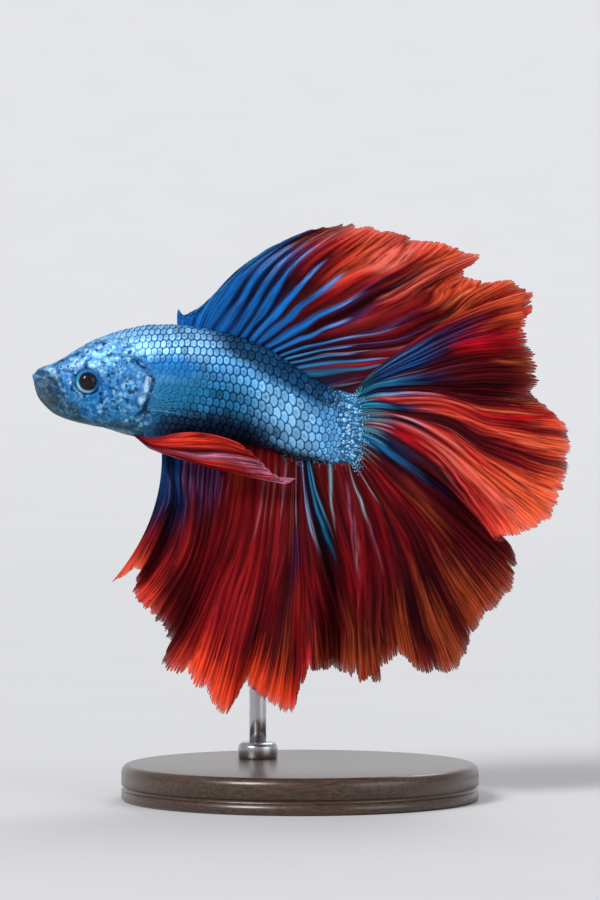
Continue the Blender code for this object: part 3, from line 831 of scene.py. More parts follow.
def skin_material():
    """Satin skin with pale patches, plates, glints and dark flecks on the head, and a fine grain all over."""
    shade = Shade("betta_skin")
    here = shade.place()
    speckled = shade.attribute("speckled")
    tone = shade.paint()
    cells = shade.cells(here, 1.35)
    # on the head: where, how strongly, colour
    layers = (
        (shade.ramp(shade.noise(here, 1.0, 4, 0.65), 0.48, 0.60), 0.55, (0.38, 0.72, 0.92)),
        (shade.ramp(shade.noise(here, 0.75, 3, 0.6), 0.50, 0.38), 0.60, (0.008, 0.14, 0.42)),
        (shade.ramp(cells, 0.40, 0.62), 0.62, (0.008, 0.12, 0.36)),
        (shade.ramp(cells, 0.26, 0.08), 0.40, (0.34, 0.68, 0.92)),
        (shade.ramp(shade.noise(here, 1.15, 2, 0.5), 0.57, 0.63), 0.90, (0.003, 0.035, 0.11)),
    )
    for where, strength, colour in layers:
        tone = shade.colour(shade.times(where, speckled, strength), tone, colour)
    mottle = shade.noise(here, 1.7, 3, 0.6)
    tone = shade.colour(shade.ramp(mottle, 0.46, 0.34, 0.0, 0.45), tone, (0.004, 0.035, 0.08))
    grain = shade.noise(here, 2.8, 3, 0.7)
    tone = shade.colour(shade.ramp(grain, 0.55, 0.72, 0.0, 0.45), tone, (0.60, 0.82, 0.95), "SOFT_LIGHT")
    tone = shade.colour(shade.ramp(grain, 0.46, 0.30, 0.0, 0.50), tone, (0.004, 0.045, 0.12))
    normal = shade.bump(grain, 0.4, 0.12, shade.bump(cells, 0.5, 0.12))
    shader = shade.surface(Base_Color=tone, Metallic=0.30, Roughness=0.42, Specular_IOR_Level=0.08,
                           Coat_Weight=0.02, Coat_Roughness=0.25, Normal=normal)
    return shade.finish(shader)


# ---------------------------------------------------------------- scales

# x, the distance between scales along a row, and the distance between rows
SCALE_PITCH = (
    (-28.0, 0.76, 0.98),
    (-20.0, 0.82, 1.06),
    (-12.0, 0.92, 1.18),
    (-5.0, 1.12, 1.38),
    (-1.0, 1.26, 1.50),
    (1.5, 1.08, 1.30),
    (3.5, 0.80, 0.98),
    (5.6, 0.60, 0.76),
)
ROWS_EACH_WAY = 14
# share of the body's height, and x where the scales start there
SCALES_START = ((0.0, -20.8), (0.3, -20.2), (0.62, -20.0), (0.8, -22.6), (0.92, -25.5), (1.0, -27.5))
SCALES_END = 5.4
SCALE_SPOKES = 14
SCALE_RINGS = (0.0, 0.32, 0.58, 0.76, 0.90, 1.0, 0.97)  # the last one lies on the underside
SCALE_REACH = (0.95, 0.58)  # how far a scale reaches ahead of its place and behind it, in pitches
SCALE_WIDE = 0.70  # half its width, in row distances
SCALE_LIFT = 0.055  # how high its middle stands, for each mm of pitch
SCALE_TILT = 0.085  # and how much higher its rear edge does
SCALE_DOME = 0.05  # and its middle than its rim
SCALE_THICK = 0.10  # and how far below it its underside lies
# how much the scales differ: in size, in lean, in place along and up, in height, in colour
SIZE_SPREAD = 0.04
LEAN = (-0.10, 0.07)
ALONG_SPREAD = 0.035
UP_SPREAD = 0.03
LIFT_SPREAD = 0.006
TONE_SPREAD = 0.21
SPOTTED_SHARE = 0.45
SCALE_PATCH = 0.0015  # half a scale's size on the OFBake map
BRIGHTEST_SCALE = (0.27, 0.56, 0.88)
SMOOTH_SKIN = ((-17.2, 58.2), (4.0, 3.2), -8, 0.5)  # behind the gill cover, where the scales hardly show
RIM_BROADER = 0.08  # how much further in the dark rim reaches on the small scales, as a share of the scale


class Sheet:
    """Reads the skin's points and normals anywhere between the points of its grid."""

    def __init__(self, xs, plain, normals, points):
        self.xs, self.points, self.normals = xs, points, normals
        self.round = np.linalg.norm(np.roll(plain, -1, axis=1) - plain, axis=-1).sum(1)
        steps = np.linalg.norm(np.diff(plain[:, AROUND // 4], axis=0), axis=-1)
        self.far = running(steps)

    def read(self, far, share):
        """The points and normals at a distance along the flank and a share round the body."""
        i = np.interp(far, self.far, np.arange(len(self.far)))
        low = np.clip(np.floor(i).astype(int), 0, len(self.far) - 2)
        rest = (i - low)[..., None]
        j = (share % 1.0) * AROUND
        left = np.floor(j).astype(int)
        part = (j - left)[..., None]
        left, right = left % AROUND, (left + 1) % AROUND
        out = []
        for grid in (self.points, self.normals):
            near = grid[low, left] * (1 - part) + grid[low, right] * part
            next_one = grid[low + 1, left] * (1 - part) + grid[low + 1, right] * part
            out.append(near * (1 - rest) + next_one * rest)
        return out[0], unit(out[1])


def scale_places(sheet):
    """Distance along, share round, pitch and row distance of every scale, in staggered rows on each flank."""
    xs, pitch, apart = (np.array(column) for column in zip(*SCALE_PITCH))
    starts = [np.interp(xs[0], sheet.xs, sheet.far)]
    while starts[-1] < sheet.far[-1] - 0.3:
        starts.append(starts[-1] + np.interp(np.interp(starts[-1], sheet.far, sheet.xs), xs, pitch))
    starts = np.array(starts)
    places = []
    for row in range(-ROWS_EACH_WAY, ROWS_EACH_WAY + 1):
        far = np.interp(np.arange(len(starts) - 1) + 0.5 * (row % 2), np.arange(len(starts)), starts)
        x = np.interp(far, sheet.far, sheet.xs)
        girth = np.interp(far, sheet.far, sheet.round)
        gap = np.interp(x, xs, apart)
        share = 0.25 + row * gap / girth
        inside = (share * girth > 0.05 * gap) & ((0.5 - share) * girth > 0.05 * gap)
        for side in (1, -1):
            rows = np.stack([far, side * share, np.interp(x, xs, pitch), gap, girth], axis=-1)
            places.append(rows[inside])
    return np.concatenate(places)


def rings_and_turns(rings, spokes):
    """The ring and angle of each point of a plate: its middle, then one point a spoke on every other ring."""
    ring = np.concatenate([[rings[0]], np.repeat(rings[1:], spokes)])
    return ring, np.concatenate([[0.0], np.tile(turns(spokes), len(rings) - 1)])


def plate_shape():
    """A scale's outline: how far along, how far across and the ring of each point."""
    ring, turn = rings_and_turns(SCALE_RINGS, SCALE_SPOKES)
    along = np.sign(np.cos(turn)) * np.abs(np.cos(turn)) ** 0.85 * ring
    across = np.sign(np.sin(turn)) * np.abs(np.sin(turn)) ** 1.12 * ring
    return along, across, ring


def plate_faces(rings, spokes):
    """Faces of a plate: a middle point, then rings of points, the last of them on its underside."""
    faces = [(0, 1 + (k + 1) % spokes, 1 + k) for k in range(spokes)]
    for level in range(len(rings) - 2):
        inner, outer = 1 + level * spokes, 1 + (level + 1) * spokes
        for k in range(spokes):
            after = (k + 1) % spokes
            faces.append((inner + k, inner + after, outer + after, outer + k))
    bottom = 1 + (len(rings) - 2) * spokes
    faces.append(tuple(bottom + k for k in range(spokes)))
    return faces


def add_plates(name, points, one, tone, numbers, uv):
    """Many like plates as one piece. points holds each plate's points, and one holds the faces of a plate."""
    count, per = points.shape[:2]
    faces = [tuple(k * per + v for v in face) for k in range(count) for face in one]
    flat = {key: np.broadcast_to(value, (count, per)).ravel() for key, value in numbers.items()}
    mesh = make_mesh(name, points.reshape(-1, 3), faces, tone.reshape(-1, 3), flat, uv.reshape(-1, 2))
    return add_piece(name, mesh, scale_material(name), "scaled_skin")


def kept_places(sheet):
    """The places of the scales to lay, their x and z, and the x where the scales start at that level."""
    places = scale_places(sheet)
    centre, _ = sheet.read(places[:, 0], places[:, 1])
    x, z = centre[:, 0], centre[:, 2]
    back, _, belly, _ = outline(x)
    starts_at = np.interp((z - belly) / (back - belly), *zip(*SCALES_START))
    off_gill_cover = (behind_gill(x, z) > 0.35) | (x > -19) | (z > 62.4)
    kept = (x > starts_at) & off_gill_cover & (x < SCALES_END)
    return places[kept], x[kept, None], z[kept, None], starts_at[kept, None]


def add_scales(sheet):
    """Overlapping plates, each one tucked under those in front of it and lifted at its rear edge."""
    places, x, z, starts_at = kept_places(sheet)
    one_each = (len(places), 1)
    far, share, pitch, gap, girth = (places[:, k][:, None] for k in range(5))
    along, across, ring = plate_shape()
    size = RNG.normal(1, SIZE_SPREAD, one_each) * (1 + 0.12 * RNG.normal(0, 1, one_each) * (x > 2))
    ahead, behind = SCALE_REACH
    long = np.where(along > 0, behind, ahead) * pitch * size
    lean = RNG.normal(*LEAN, one_each) * pitch * across
    at_far = far + along * long + lean * 0.5 + RNG.normal(0, ALONG_SPREAD, one_each)
    at_share = share + (across * SCALE_WIDE * gap * size + RNG.normal(0, UP_SPREAD, one_each)) / girth
    points, normals = sheet.read(at_far, at_share)
    small = np.clip(pitch, 0.5, 1.2)
    lift = small * (SCALE_LIFT + SCALE_TILT * along) + SCALE_DOME * small * (1 - ring**2)
    under = np.arange(len(ring)) >= len(ring) - SCALE_SPOKES
    lift = np.where(under, lift - SCALE_THICK * small - 0.03, lift) + RNG.normal(0, LIFT_SPREAD, one_each)
    points = points + normals * lift[..., None]
    smooth_skin = 0.85 * spot(x, z, *SMOOTH_SKIN)
    own = RNG.normal(0, TONE_SPREAD, one_each) * (1 - smooth_skin)
    tone = np.minimum(body_tone(points[..., 0], points[..., 2]) * np.exp(own)[..., None], BRIGHTEST_SCALE)
    faint = np.clip(1 - smooth_skin, 0, 1) * (0.30 + 0.70 * smooth(0.2, 4.0, x - starts_at))
    spotted = (RNG.random(one_each) < SPOTTED_SHARE) * RNG.uniform(0.3, 1, one_each)
    brightness = np.clip(tone[..., 1].mean(axis=1, keepdims=True) / 0.26, 0.06, 1.0)
    # how strongly the painted sheen shows on each scale
    painted_sheen = RNG.uniform(0.15, 1.0, one_each) * (1 - 0.7 * smooth_skin) * brightness
    rim = ring + RIM_BROADER * smooth(-2.0, -12.0, x) * smooth(0.3, 0.6, ring)
    uv = np.stack([on_map(far / sheet.far[-1]) + SCALE_PATCH * along,
                   on_map(share % 1.0) + SCALE_PATCH * across], axis=-1)
    numbers = {"rim": rim, "faint": faint, "spotted": spotted, "painted_sheen": painted_sheen}
    one = plate_faces(SCALE_RINGS, SCALE_SPOKES)
    left = (share[:, 0] % 1.0) < 0.5
    for word, chosen in (("left", left), ("right", ~left)):
        own = {key: value[chosen] for key, value in numbers.items()}
        add_plates(f"scales_{word}", points[chosen], one, tone[chosen], own, uv[chosen])


BEADS_FROM = 2.4
BEAD_PITCH = 0.46
BEAD_ROWS = np.arange(0.015, 0.49, 0.020)  # as shares of the way round
BEAD_SPOKES = 8
BEAD_RINGS = (0.0, 0.45, 0.80, 1.0, 0.85)
BEAD_SIZES = (0.17, 0.29)
BEAD_LONG = 1.1  # its half length and half width, for each mm of its size
BEAD_WIDE = 0.85
BEAD_SPREAD = (0.13, 0.006)  # of its place along, in mm, and round, as a share
BEAD_HIGH = 0.42  # a bead's height, for each mm of its half width
BEAD_DEEP = 0.45  # and how deep its underside lies
BEAD_DARK = (0.010, 0.11, 0.26)
BEAD_PALE = (0.26, 0.56, 0.86)
BEAD_ON_BACK = (0.010, 0.085, 0.17)


def domes(centres, outward, ahead, long, wide):
    """Small domes standing on the given centres: their points, and the ring of each point."""
    ring, turn = rings_and_turns(BEAD_RINGS, BEAD_SPOKES)
    height = BEAD_HIGH * np.sqrt(np.clip(1 - ring**2, 0, 1)) - 0.06
    height[-BEAD_SPOKES:] = -BEAD_DEEP
    across = np.cross(outward, ahead)
    points = centres[:, None] + ahead[:, None] * (np.cos(turn) * ring * long)[..., None]
    points = points + across[:, None] * (np.sin(turn) * ring * wide)[..., None]
    return points + outward[:, None] * (height * wide)[..., None], ring


def add_tail_beads(sheet):
    """Fine rounded scales that crowd the tail stem and run out in lines over the roots of the tail's rays."""
    far = np.arange(np.interp(BEADS_FROM, sheet.xs, sheet.far), sheet.far[-1] - 0.1, BEAD_PITCH)
    far, share = (grid.ravel() for grid in np.meshgrid(far, BEAD_ROWS))
    far = far + RNG.normal(0, BEAD_SPREAD[0], len(far))
    share = share + RNG.normal(0, BEAD_SPREAD[1], len(share))
    x = np.interp(far, sheet.far, sheet.xs)
    kept = RNG.random(len(x)) < smooth(BEADS_FROM, 5.0, x)
    far, share = np.tile(far[kept], 2), np.concatenate([share[kept], -share[kept]])
    centres, outward = sheet.read(far, share)
    ahead = unit(np.cross(outward, np.cross(np.array([1.0, 0.0, 0.0]), outward)))
    place = np.stack([on_map(np.clip(far / sheet.far[-1], 0, 1)), on_map(share % 1.0)], axis=-1)
    size = RNG.uniform(*BEAD_SIZES, (len(far), 1))
    bright = RNG.random(len(far))
    tone = mix(BEAD_DARK, BEAD_PALE, bright**1.2)
    on_back = smooth(0.15, 0.05, np.abs(share)) * smooth(8.6, 5.0, centres[:, 0])
    tone = mix(tone, BEAD_ON_BACK, 0.65 * on_back)
    groups = [(centres, outward, ahead, size * BEAD_LONG, size * BEAD_WIDE, tone, place)] + root_beads()
    centres, outward, ahead, long, wide, tone, place = (np.concatenate(parts) for parts in zip(*groups))
    points, ring = domes(centres, outward, ahead, long, wide)
    tone = np.repeat(tone[:, None], len(ring), axis=1)
    offsets = (points - centres[:, None])[..., [0, 2]]
    # the beads carry the scales' painted sheen at a fixed strength
    numbers = {"rim": 0.88 * ring, "faint": 0.8, "spotted": 0.0, "painted_sheen": 0.8}
    uv = np.clip(place[:, None] + offsets * 0.004, 0.005, 0.995)
    add_plates("tail_scales", points, plate_faces(BEAD_RINGS, BEAD_SPOKES), tone, numbers, uv)


def root_beads():
    """Rows of beads on the roots of the tail fin's rays, and fine dashes on the anal fin's last ones."""
    # rays, root, slope, the rows' shares, first out, step, most in a row, colour, length and width
    jobs = (
        (CAUDAL_RAYS, caudal_root, float(spine_slope(TAIL_X)), np.linspace(0.01, 0.99, 110),
         -0.004, 0.0115, 6, (0.07, 0.32, 0.56), 0.20, 0.12),
        (ANAL_RAYS, anal_root, 0.0, np.linspace(0.62, 0.985, 42),
         0.0, 0.011, 4, (0.035, 0.12, 0.17), 0.22, 0.085),
    )
    groups = []
    for rays, root, slope, shares, first, step, most, colour, long, wide in jobs:
        steps = RNG.integers(1, most + 1, len(shares))
        at = np.repeat(shares, steps) + RNG.normal(0, 0.0018, steps.sum())
        order = np.concatenate([np.arange(n) for n in steps])
        outs = (first + step * order + RNG.normal(0, 0.002, len(order)))[:, None]
        near = fan(rays, root, at, outs, slope)[:, 0]
        beyond = fan(rays, root, at, outs + 0.01, slope)[:, 0]
        beside = fan(rays, root, at + 0.004, outs, slope)[:, 0]
        ahead = unit(beyond - near)
        outward = unit(np.cross(ahead, beside - near))
        order = order[:, None]
        scale = RNG.uniform(0.7, 1.2, order.shape) * (1 - 0.07 * order)
        tone = np.array(colour) * RNG.lognormal(-0.1, 0.45, order.shape) * (1 - 0.06 * order)
        across = np.interp(near[:, 2], (46.0, 58.0), (0.47, 0.03))
        for side in (1, -1):
            facing = outward * side
            spread = on_map((across if facing[:, 1].mean() < 0 else -across) % 1.0)
            place = np.stack([np.full(len(at), on_map(1.0)), spread], axis=-1)
            groups.append((near + facing * 0.15, facing, ahead, long * scale, wide * scale, tone, place))
    return groups


def scale_material(name):
    """Metallic scales: a painted sheen in a band across each, a dark dot on some, painted shade just inside
    the rim, and a dark edge.
    """
    shade = Shade(f"betta_{name}")
    here = shade.place()
    tone = shade.paint()
    rim, faint = shade.attribute("rim"), shade.attribute("faint")
    patchy = shade.ramp(shade.noise(here, 2.4, 3, 0.6), 0.34, 0.64, 0.15, 1.0)
    band = shade.times(shade.ramp(rim, 0.18, 0.46), shade.ramp(rim, 0.80, 0.60))
    # a painted sheen: a brighter, paler tone laid in a band across each scale, in patches, as strongly as the
    # scale's own number says
    bright = shade.colour(1.0, tone, (1.7, 1.42, 1.22), "MULTIPLY")
    bright = shade.colour(0.14, bright, (0.50, 0.80, 1.0))
    tone = shade.colour(shade.times(band, patchy, shade.attribute("painted_sheen")), tone, bright)
    # where, how strongly, and what the colour is multiplied by
    darker = (
        (shade.times(shade.ramp(rim, 0.40, 0.10), shade.attribute("spotted")), 0.9, (0.36, 0.56, 0.70)),
        # painted shade just inside the rim
        (shade.times(shade.ramp(rim, 0.62, 0.84), faint), 0.8, (0.40, 0.60, 0.74)),
        (shade.times(shade.ramp(rim, 0.78, 0.93), faint), 0.95, (0.07, 0.24, 0.34)),
    )
    for where, strength, by in darker:
        tone = shade.darkened(shade.times(where, strength), tone, by)
    normal = shade.bump(shade.noise(here, 4.0, 3), 0.3, 0.08)
    shader = shade.surface(Base_Color=tone, Metallic=0.30, Roughness=0.40, Specular_IOR_Level=0.08,
                           Coat_Weight=0.02, Coat_Roughness=0.2, Normal=normal)
    return shade.finish(shader)


# ---------------------------------------------------------------- eyes

EYE_RINGS = 56
EYE_SPOKES = 72
EYE_SMALLER = 0.03  # how much smaller the ball is than the solids' eye
CORNEA_ANGLE = 46.0  # how far the cornea reaches off the eye's axis, in degrees
CORNEA_BULGE = 0.13  # and how far it stands out of the ball


def eye_tone(off_axis, turn):
    """The eye's colour by the angle off its axis and the turn round it: 0 rearward, 90 up, 180 forward."""
    outer_ring = smooth(40, 43, off_axis)
    # colour and share, from the pupil outwards
    layers = (
        ((0.003, 0.003, 0.005), smooth(6, 15, off_axis)),
        ((0.020, 0.020, 0.028), 0.7 * bell(off_axis, 21, 2.5)),
        ((0.004, 0.007, 0.014), smooth(23, 28, off_axis)),
        ((0.022, 0.15, 0.36), outer_ring),
        ((0.004, 0.020, 0.060), 0.85 * bell(off_axis, 43, 2.2) * (turn < 130)),
        ((0.016, 0.25, 0.40), 0.95 * outer_ring * smooth(52, 28, np.abs(turn - 185))),
        (WHITISH, 0.95 * bell(off_axis, 51, 7) * smooth(72, 30, np.abs(turn - 240))),
        ((0.006, 0.055, 0.15), smooth(64, 72, off_axis)),
    )
    # the pupil's faint brownish centre is a painted reflection
    tone = (0.022, 0.008, 0.007)
    for colour, share in layers:
        tone = mix(tone, colour, share)
    return tone


def add_eye(side, word):
    """An eyeball with a raised cornea over a dark iris, looking out from the flank."""
    theta = np.linspace(0, math.pi, EYE_RINGS)[1:-1]
    phi = turns(EYE_SPOKES)
    bulge = CORNEA_BULGE * (1 - np.clip(np.degrees(theta) / CORNEA_ANGLE, 0, 1) ** 2)
    size = EYE_RADIUS - EYE_SMALLER
    radius = size + bulge
    x = (radius * np.sin(theta))[:, None] * np.cos(phi)
    z = (radius * np.sin(theta))[:, None] * np.sin(phi)
    y = -side * (radius * np.cos(theta))[:, None] * np.ones_like(phi)
    depth = float(flank_reach(*EYE_AT)) + EYE_PROUD - EYE_RADIUS
    poles = [[0, -side * (size + CORNEA_BULGE), 0], [0, side * size, 0]]
    points = np.concatenate([np.stack([x, y, z], axis=-1).reshape(-1, 3), poles])
    points = points + (EYE_AT[0], -side * depth, EYE_AT[1])
    faces = closed_faces(len(theta), EYE_SPOKES)
    if side < 0:
        faces = [face[::-1] for face in faces]

    def with_poles(values, front=0.0, rear=0.0):
        return np.concatenate([values, [front, rear]])

    off_axis = np.degrees(with_poles(np.repeat(theta, EYE_SPOKES), 0, math.pi))
    forward = with_poles(-np.tile(np.cos(phi), len(theta)))
    upward = with_poles(np.tile(np.sin(phi), len(theta)))
    tone = eye_tone(off_axis, np.degrees(np.arctan2(upward, -forward)) % 360)
    streak = with_poles(np.tile(wander(phi, 5, 0.5), len(theta)))
    tone = tone * (1 + 0.12 * streak[:, None])
    uv = 0.5 + 0.45 * (off_axis / 180)[:, None] * np.stack([forward, upward], axis=-1)
    mesh = make_mesh(f"eye_{word}", points, faces, tone, uv=uv)
    add_piece(f"eyeball_{word}", mesh, eye_material(word), "eye", f"eye_{word}")


def eye_material(word):
    """Wet, clear and glossy over the painted iris."""
    shade = Shade(f"betta_eye_{word}")
    clouds = shade.ramp(shade.noise(shade.place(), 6.0, 3), 0.4, 0.7, 0.0, 0.25)
    tone = shade.colour(clouds, shade.paint(), (0.5, 0.6, 0.7), "SOFT_LIGHT")
    shader = shade.surface(Base_Color=tone, Roughness=0.12, Specular_IOR_Level=0.12, Coat_Weight=0.6,
                           Coat_Roughness=0.03, Coat_IOR=1.25)
    return shade.finish(shader)


# ---------------------------------------------------------------- fins

# Where key rays cross each fin: the ray's place, then its share at each of PATH_OUTS. The edges are straight.
PATH_OUTS = (0.0, 0.2, 0.4, 0.6, 0.8, 1.0)
DORSAL_PATHS = (
    (0.125, 0.160, 0.160, 0.160, 0.160, 0.160, 0.160),
    (0.160, 0.210, 0.202, 0.190, 0.184, 0.182, 0.182),
    (0.205, 0.272, 0.253, 0.227, 0.214, 0.208, 0.206),
    (0.255, 0.335, 0.305, 0.275, 0.254, 0.245, 0.235),
    (0.325, 0.390, 0.367, 0.338, 0.316, 0.298, 0.280),
    (0.385, 0.432, 0.420, 0.399, 0.372, 0.346, 0.318),
    (0.450, 0.465, 0.477, 0.486, 0.474, 0.440, 0.396),
    (0.515, 0.508, 0.548, 0.578, 0.570, 0.529, 0.479),
    (0.575, 0.558, 0.613, 0.639, 0.635, 0.601, 0.560),
    (0.630, 0.599, 0.666, 0.705, 0.703, 0.664, 0.617),
    (0.690, 0.630, 0.730, 0.774, 0.772, 0.725, 0.689),
    (0.770, 0.675, 0.795, 0.843, 0.851, 0.797, 0.777),
    (0.835, 0.721, 0.851, 0.898, 0.900, 0.850, 0.830),
    (0.875, 0.791, 0.888, 0.919, 0.930, 0.890, 0.870),
)
# The dorsal rays' own bends near the root: the ray's place, then where it lies at each of BEND_OUTS.
BEND_OUTS = (0.0, 0.06, 0.14, 0.25, 0.40, 0.55, 0.75, 1.0)
DORSAL_BENDS = (
    (0.120, 0.112, 0.116, 0.120, 0.120, 0.120, 0.120, 0.120, 0.120),
    (0.170, 0.132, 0.145, 0.157, 0.168, 0.172, 0.172, 0.170, 0.170),
    (0.228, 0.185, 0.205, 0.222, 0.230, 0.230, 0.230, 0.228, 0.228),
    (0.290, 0.245, 0.268, 0.288, 0.293, 0.292, 0.288, 0.289, 0.290),
    (0.345, 0.300, 0.330, 0.360, 0.355, 0.348, 0.343, 0.344, 0.345),
    (0.410, 0.370, 0.398, 0.428, 0.420, 0.412, 0.407, 0.408, 0.410),
    (0.465, 0.440, 0.475, 0.490, 0.472, 0.466, 0.460, 0.463, 0.465),
    (0.530, 0.505, 0.538, 0.546, 0.535, 0.529, 0.524, 0.527, 0.530),
    (0.585, 0.562, 0.590, 0.598, 0.584, 0.580, 0.580, 0.583, 0.585),
    (0.655, 0.608, 0.632, 0.646, 0.654, 0.662, 0.660, 0.656, 0.655),
    (0.705, 0.650, 0.675, 0.690, 0.702, 0.716, 0.712, 0.707, 0.705),
    (0.755, 0.700, 0.728, 0.742, 0.750, 0.762, 0.764, 0.757, 0.755),
    (0.805, 0.765, 0.792, 0.805, 0.805, 0.808, 0.806, 0.805, 0.805),
    (0.855, 0.835, 0.856, 0.862, 0.850, 0.850, 0.853, 0.855, 0.855),
)
ANAL_PATHS = (
    (0.04, 0.03, 0.05, 0.07, 0.05, 0.04, 0.04),
    (0.12, 0.09, 0.09, 0.125, 0.13, 0.125, 0.12),
    (0.17, 0.15, 0.155, 0.18, 0.20, 0.19, 0.17),
    (0.22, 0.22, 0.225, 0.24, 0.245, 0.23, 0.22),
    (0.30, 0.29, 0.29, 0.30, 0.30, 0.30, 0.30),
    (0.36, 0.37, 0.37, 0.37, 0.36, 0.36, 0.36),
    (0.45, 0.47, 0.465, 0.455, 0.44, 0.445, 0.45),
    (0.50, 0.56, 0.545, 0.525, 0.50, 0.495, 0.50),
    (0.56, 0.62, 0.60, 0.59, 0.58, 0.565, 0.56),
    (0.62, 0.69, 0.67, 0.66, 0.635, 0.63, 0.62),
    (0.70, 0.715, 0.70, 0.70, 0.695, 0.70, 0.70),
    (0.80, 0.735, 0.725, 0.74, 0.76, 0.78, 0.80),
    (0.90, 0.77, 0.79, 0.82, 0.855, 0.895, 0.90),
    (0.94, 0.80, 0.845, 0.89, 0.92, 0.94, 0.94),
)
CAUDAL_PATHS = (
    (0.04, 0.005, 0.03, 0.045, 0.045, 0.04, 0.04),
    (0.08, 0.01, 0.07, 0.09, 0.08, 0.08, 0.08),
    (0.13, 0.025, 0.11, 0.135, 0.12, 0.13, 0.13),
    (0.17, 0.045, 0.145, 0.175, 0.17, 0.17, 0.17),
    (0.22, 0.065, 0.175, 0.225, 0.225, 0.22, 0.22),
    (0.28, 0.11, 0.215, 0.265, 0.285, 0.285, 0.28),
    (0.35, 0.15, 0.262, 0.31, 0.384, 0.372, 0.35),
    (0.39, 0.19, 0.32, 0.365, 0.42, 0.41, 0.39),
    (0.435, 0.24, 0.38, 0.41, 0.45, 0.447, 0.435),
    (0.48, 0.29, 0.40, 0.445, 0.49, 0.49, 0.48),
    (0.53, 0.33, 0.415, 0.488, 0.52, 0.53, 0.53),
    (0.58, 0.38, 0.465, 0.525, 0.562, 0.576, 0.58),
    (0.605, 0.44, 0.52, 0.563, 0.59, 0.60, 0.605),
    (0.64, 0.52, 0.60, 0.62, 0.63, 0.64, 0.64),
    (0.69, 0.60, 0.665, 0.685, 0.69, 0.69, 0.69),
    (0.74, 0.66, 0.72, 0.73, 0.735, 0.74, 0.74),
    (0.80, 0.72, 0.76, 0.77, 0.79, 0.80, 0.80),
    (0.87, 0.79, 0.82, 0.83, 0.86, 0.87, 0.87),
    (0.94, 0.875, 0.89, 0.915, 0.93, 0.94, 0.94),
    (0.97, 0.98, 0.955, 0.955, 0.96, 0.97, 0.97),
)
PELVIC_PATHS = (
    (0.40, 0.10, 0.15, 0.20, 0.25, 0.29, 0.40),
    (0.66, 0.25, 0.30, 0.345, 0.45, 0.55, 0.66),
    (0.80, 0.35, 0.42, 0.50, 0.60, 0.70, 0.80),
    (0.90, 0.45, 0.55, 0.64, 0.73, 0.82, 0.90),
    (1.00, 0.70, 0.85, 0.95, 1.00, 1.00, 1.00),
)
STRAIGHT_PATHS = ()

# Each paint: the membrane, the ray on it, and how narrow the ray is.
PAINTS = {
    "royal": ((0.002, 0.042, 0.21), (0.005, 0.155, 0.53), 0.8),
    "azure": ((0.003, 0.045, 0.12), (0.030, 0.22, 0.46), 0.9),
    "lilac": ((0.030, 0.060, 0.26), (0.22, 0.34, 0.74), 1.0),
    "blue": ((0.0015, 0.006, 0.028), (0.010, 0.048, 0.18), 0.9),
    "navy": ((0.0008, 0.0045, 0.028), (0.002, 0.013, 0.062), 1.0),
    "dusk": ((0.004, 0.0012, 0.010), (0.018, 0.005, 0.026), 1.0),
    "violet": ((0.026, 0.002, 0.012), (0.10, 0.026, 0.11), 1.3),
    "wine": ((0.020, 0.0008, 0.0025), (0.050, 0.002, 0.005), 1.0),
    "maroon": ((0.055, 0.0020, 0.0040), (0.12, 0.0065, 0.0090), 1.0),
    "ruby": ((0.10, 0.0012, 0.0030), (0.22, 0.0050, 0.0085), 1.0),
    "crimson": ((0.16, 0.0025, 0.0050), (0.34, 0.012, 0.014), 1.0),
    "blaze": ((0.34, 0.0020, 0.0060), (0.74, 0.008, 0.020), 0.9),
    "scarlet": ((0.34, 0.008, 0.008), (0.68, 0.046, 0.030), 0.9),
    "orange": ((0.48, 0.036, 0.012), (0.86, 0.125, 0.050), 0.8),
    "coral": ((0.58, 0.050, 0.034), (0.92, 0.165, 0.115), 0.8),
    "flame": ((0.46, 0.010, 0.003), (0.92, 0.070, 0.018), 0.9),
    "rust": ((0.130, 0.016, 0.005), (0.34, 0.052, 0.017), 1.1),
    "rose": ((0.22, 0.020, 0.030), (0.50, 0.11, 0.13), 1.0),
    "rosewood": ((0.12, 0.022, 0.022), (0.36, 0.100, 0.085), 1.0),
    "blush": ((0.40, 0.050, 0.10), (0.92, 0.36, 0.56), 1.0),
    "black": ((0.0015, 0.0012, 0.0035), (0.006, 0.004, 0.010), 1.0),
}
# A fin's paints by the ray's place, at each of PATH_OUTS from the root to the margin.
DORSAL_CHART = (
    (0.000, "royal royal royal royal royal azure"),
    (0.110, "royal royal azure azure azure azure"),
    (0.135, "royal royal royal royal blue wine"),
    (0.155, "royal royal royal azure blue wine"),
    (0.170, "royal royal lilac lilac blue rust"),
    (0.200, "royal navy navy royal wine rust"),
    (0.230, "royal navy royal lilac rosewood rust"),
    (0.260, "royal navy navy navy rosewood rosewood"),
    (0.290, "navy navy navy royal rosewood rosewood"),
    (0.320, "navy navy navy violet crimson rosewood"),
    (0.345, "navy navy navy violet rose rosewood"),
    (0.375, "navy navy wine crimson crimson coral"),
    (0.410, "navy wine wine maroon scarlet coral"),
    (0.440, "navy wine maroon scarlet orange coral"),
    (0.465, "navy wine maroon orange coral coral"),
    (0.490, "navy maroon crimson scarlet coral coral"),
    (0.510, "navy maroon crimson scarlet coral coral"),
    (0.530, "navy maroon violet maroon crimson orange"),
    (0.560, "navy wine wine maroon orange orange"),
    (0.585, "navy maroon violet crimson coral coral"),
    (0.620, "navy wine crimson crimson maroon orange"),
    (0.655, "navy dusk violet maroon orange orange"),
    (0.675, "navy wine crimson crimson orange orange"),
    (0.705, "navy dusk violet maroon orange orange"),
    (0.730, "navy wine maroon wine orange orange"),
    (0.755, "navy dusk rose crimson scarlet orange"),
    (0.780, "navy wine crimson crimson maroon orange"),
    (0.805, "navy dusk crimson maroon orange orange"),
    (0.840, "navy crimson crimson maroon maroon orange"),
    (0.900, "navy maroon crimson maroon crimson scarlet"),
    (1.000, "wine maroon maroon maroon crimson scarlet"),
)
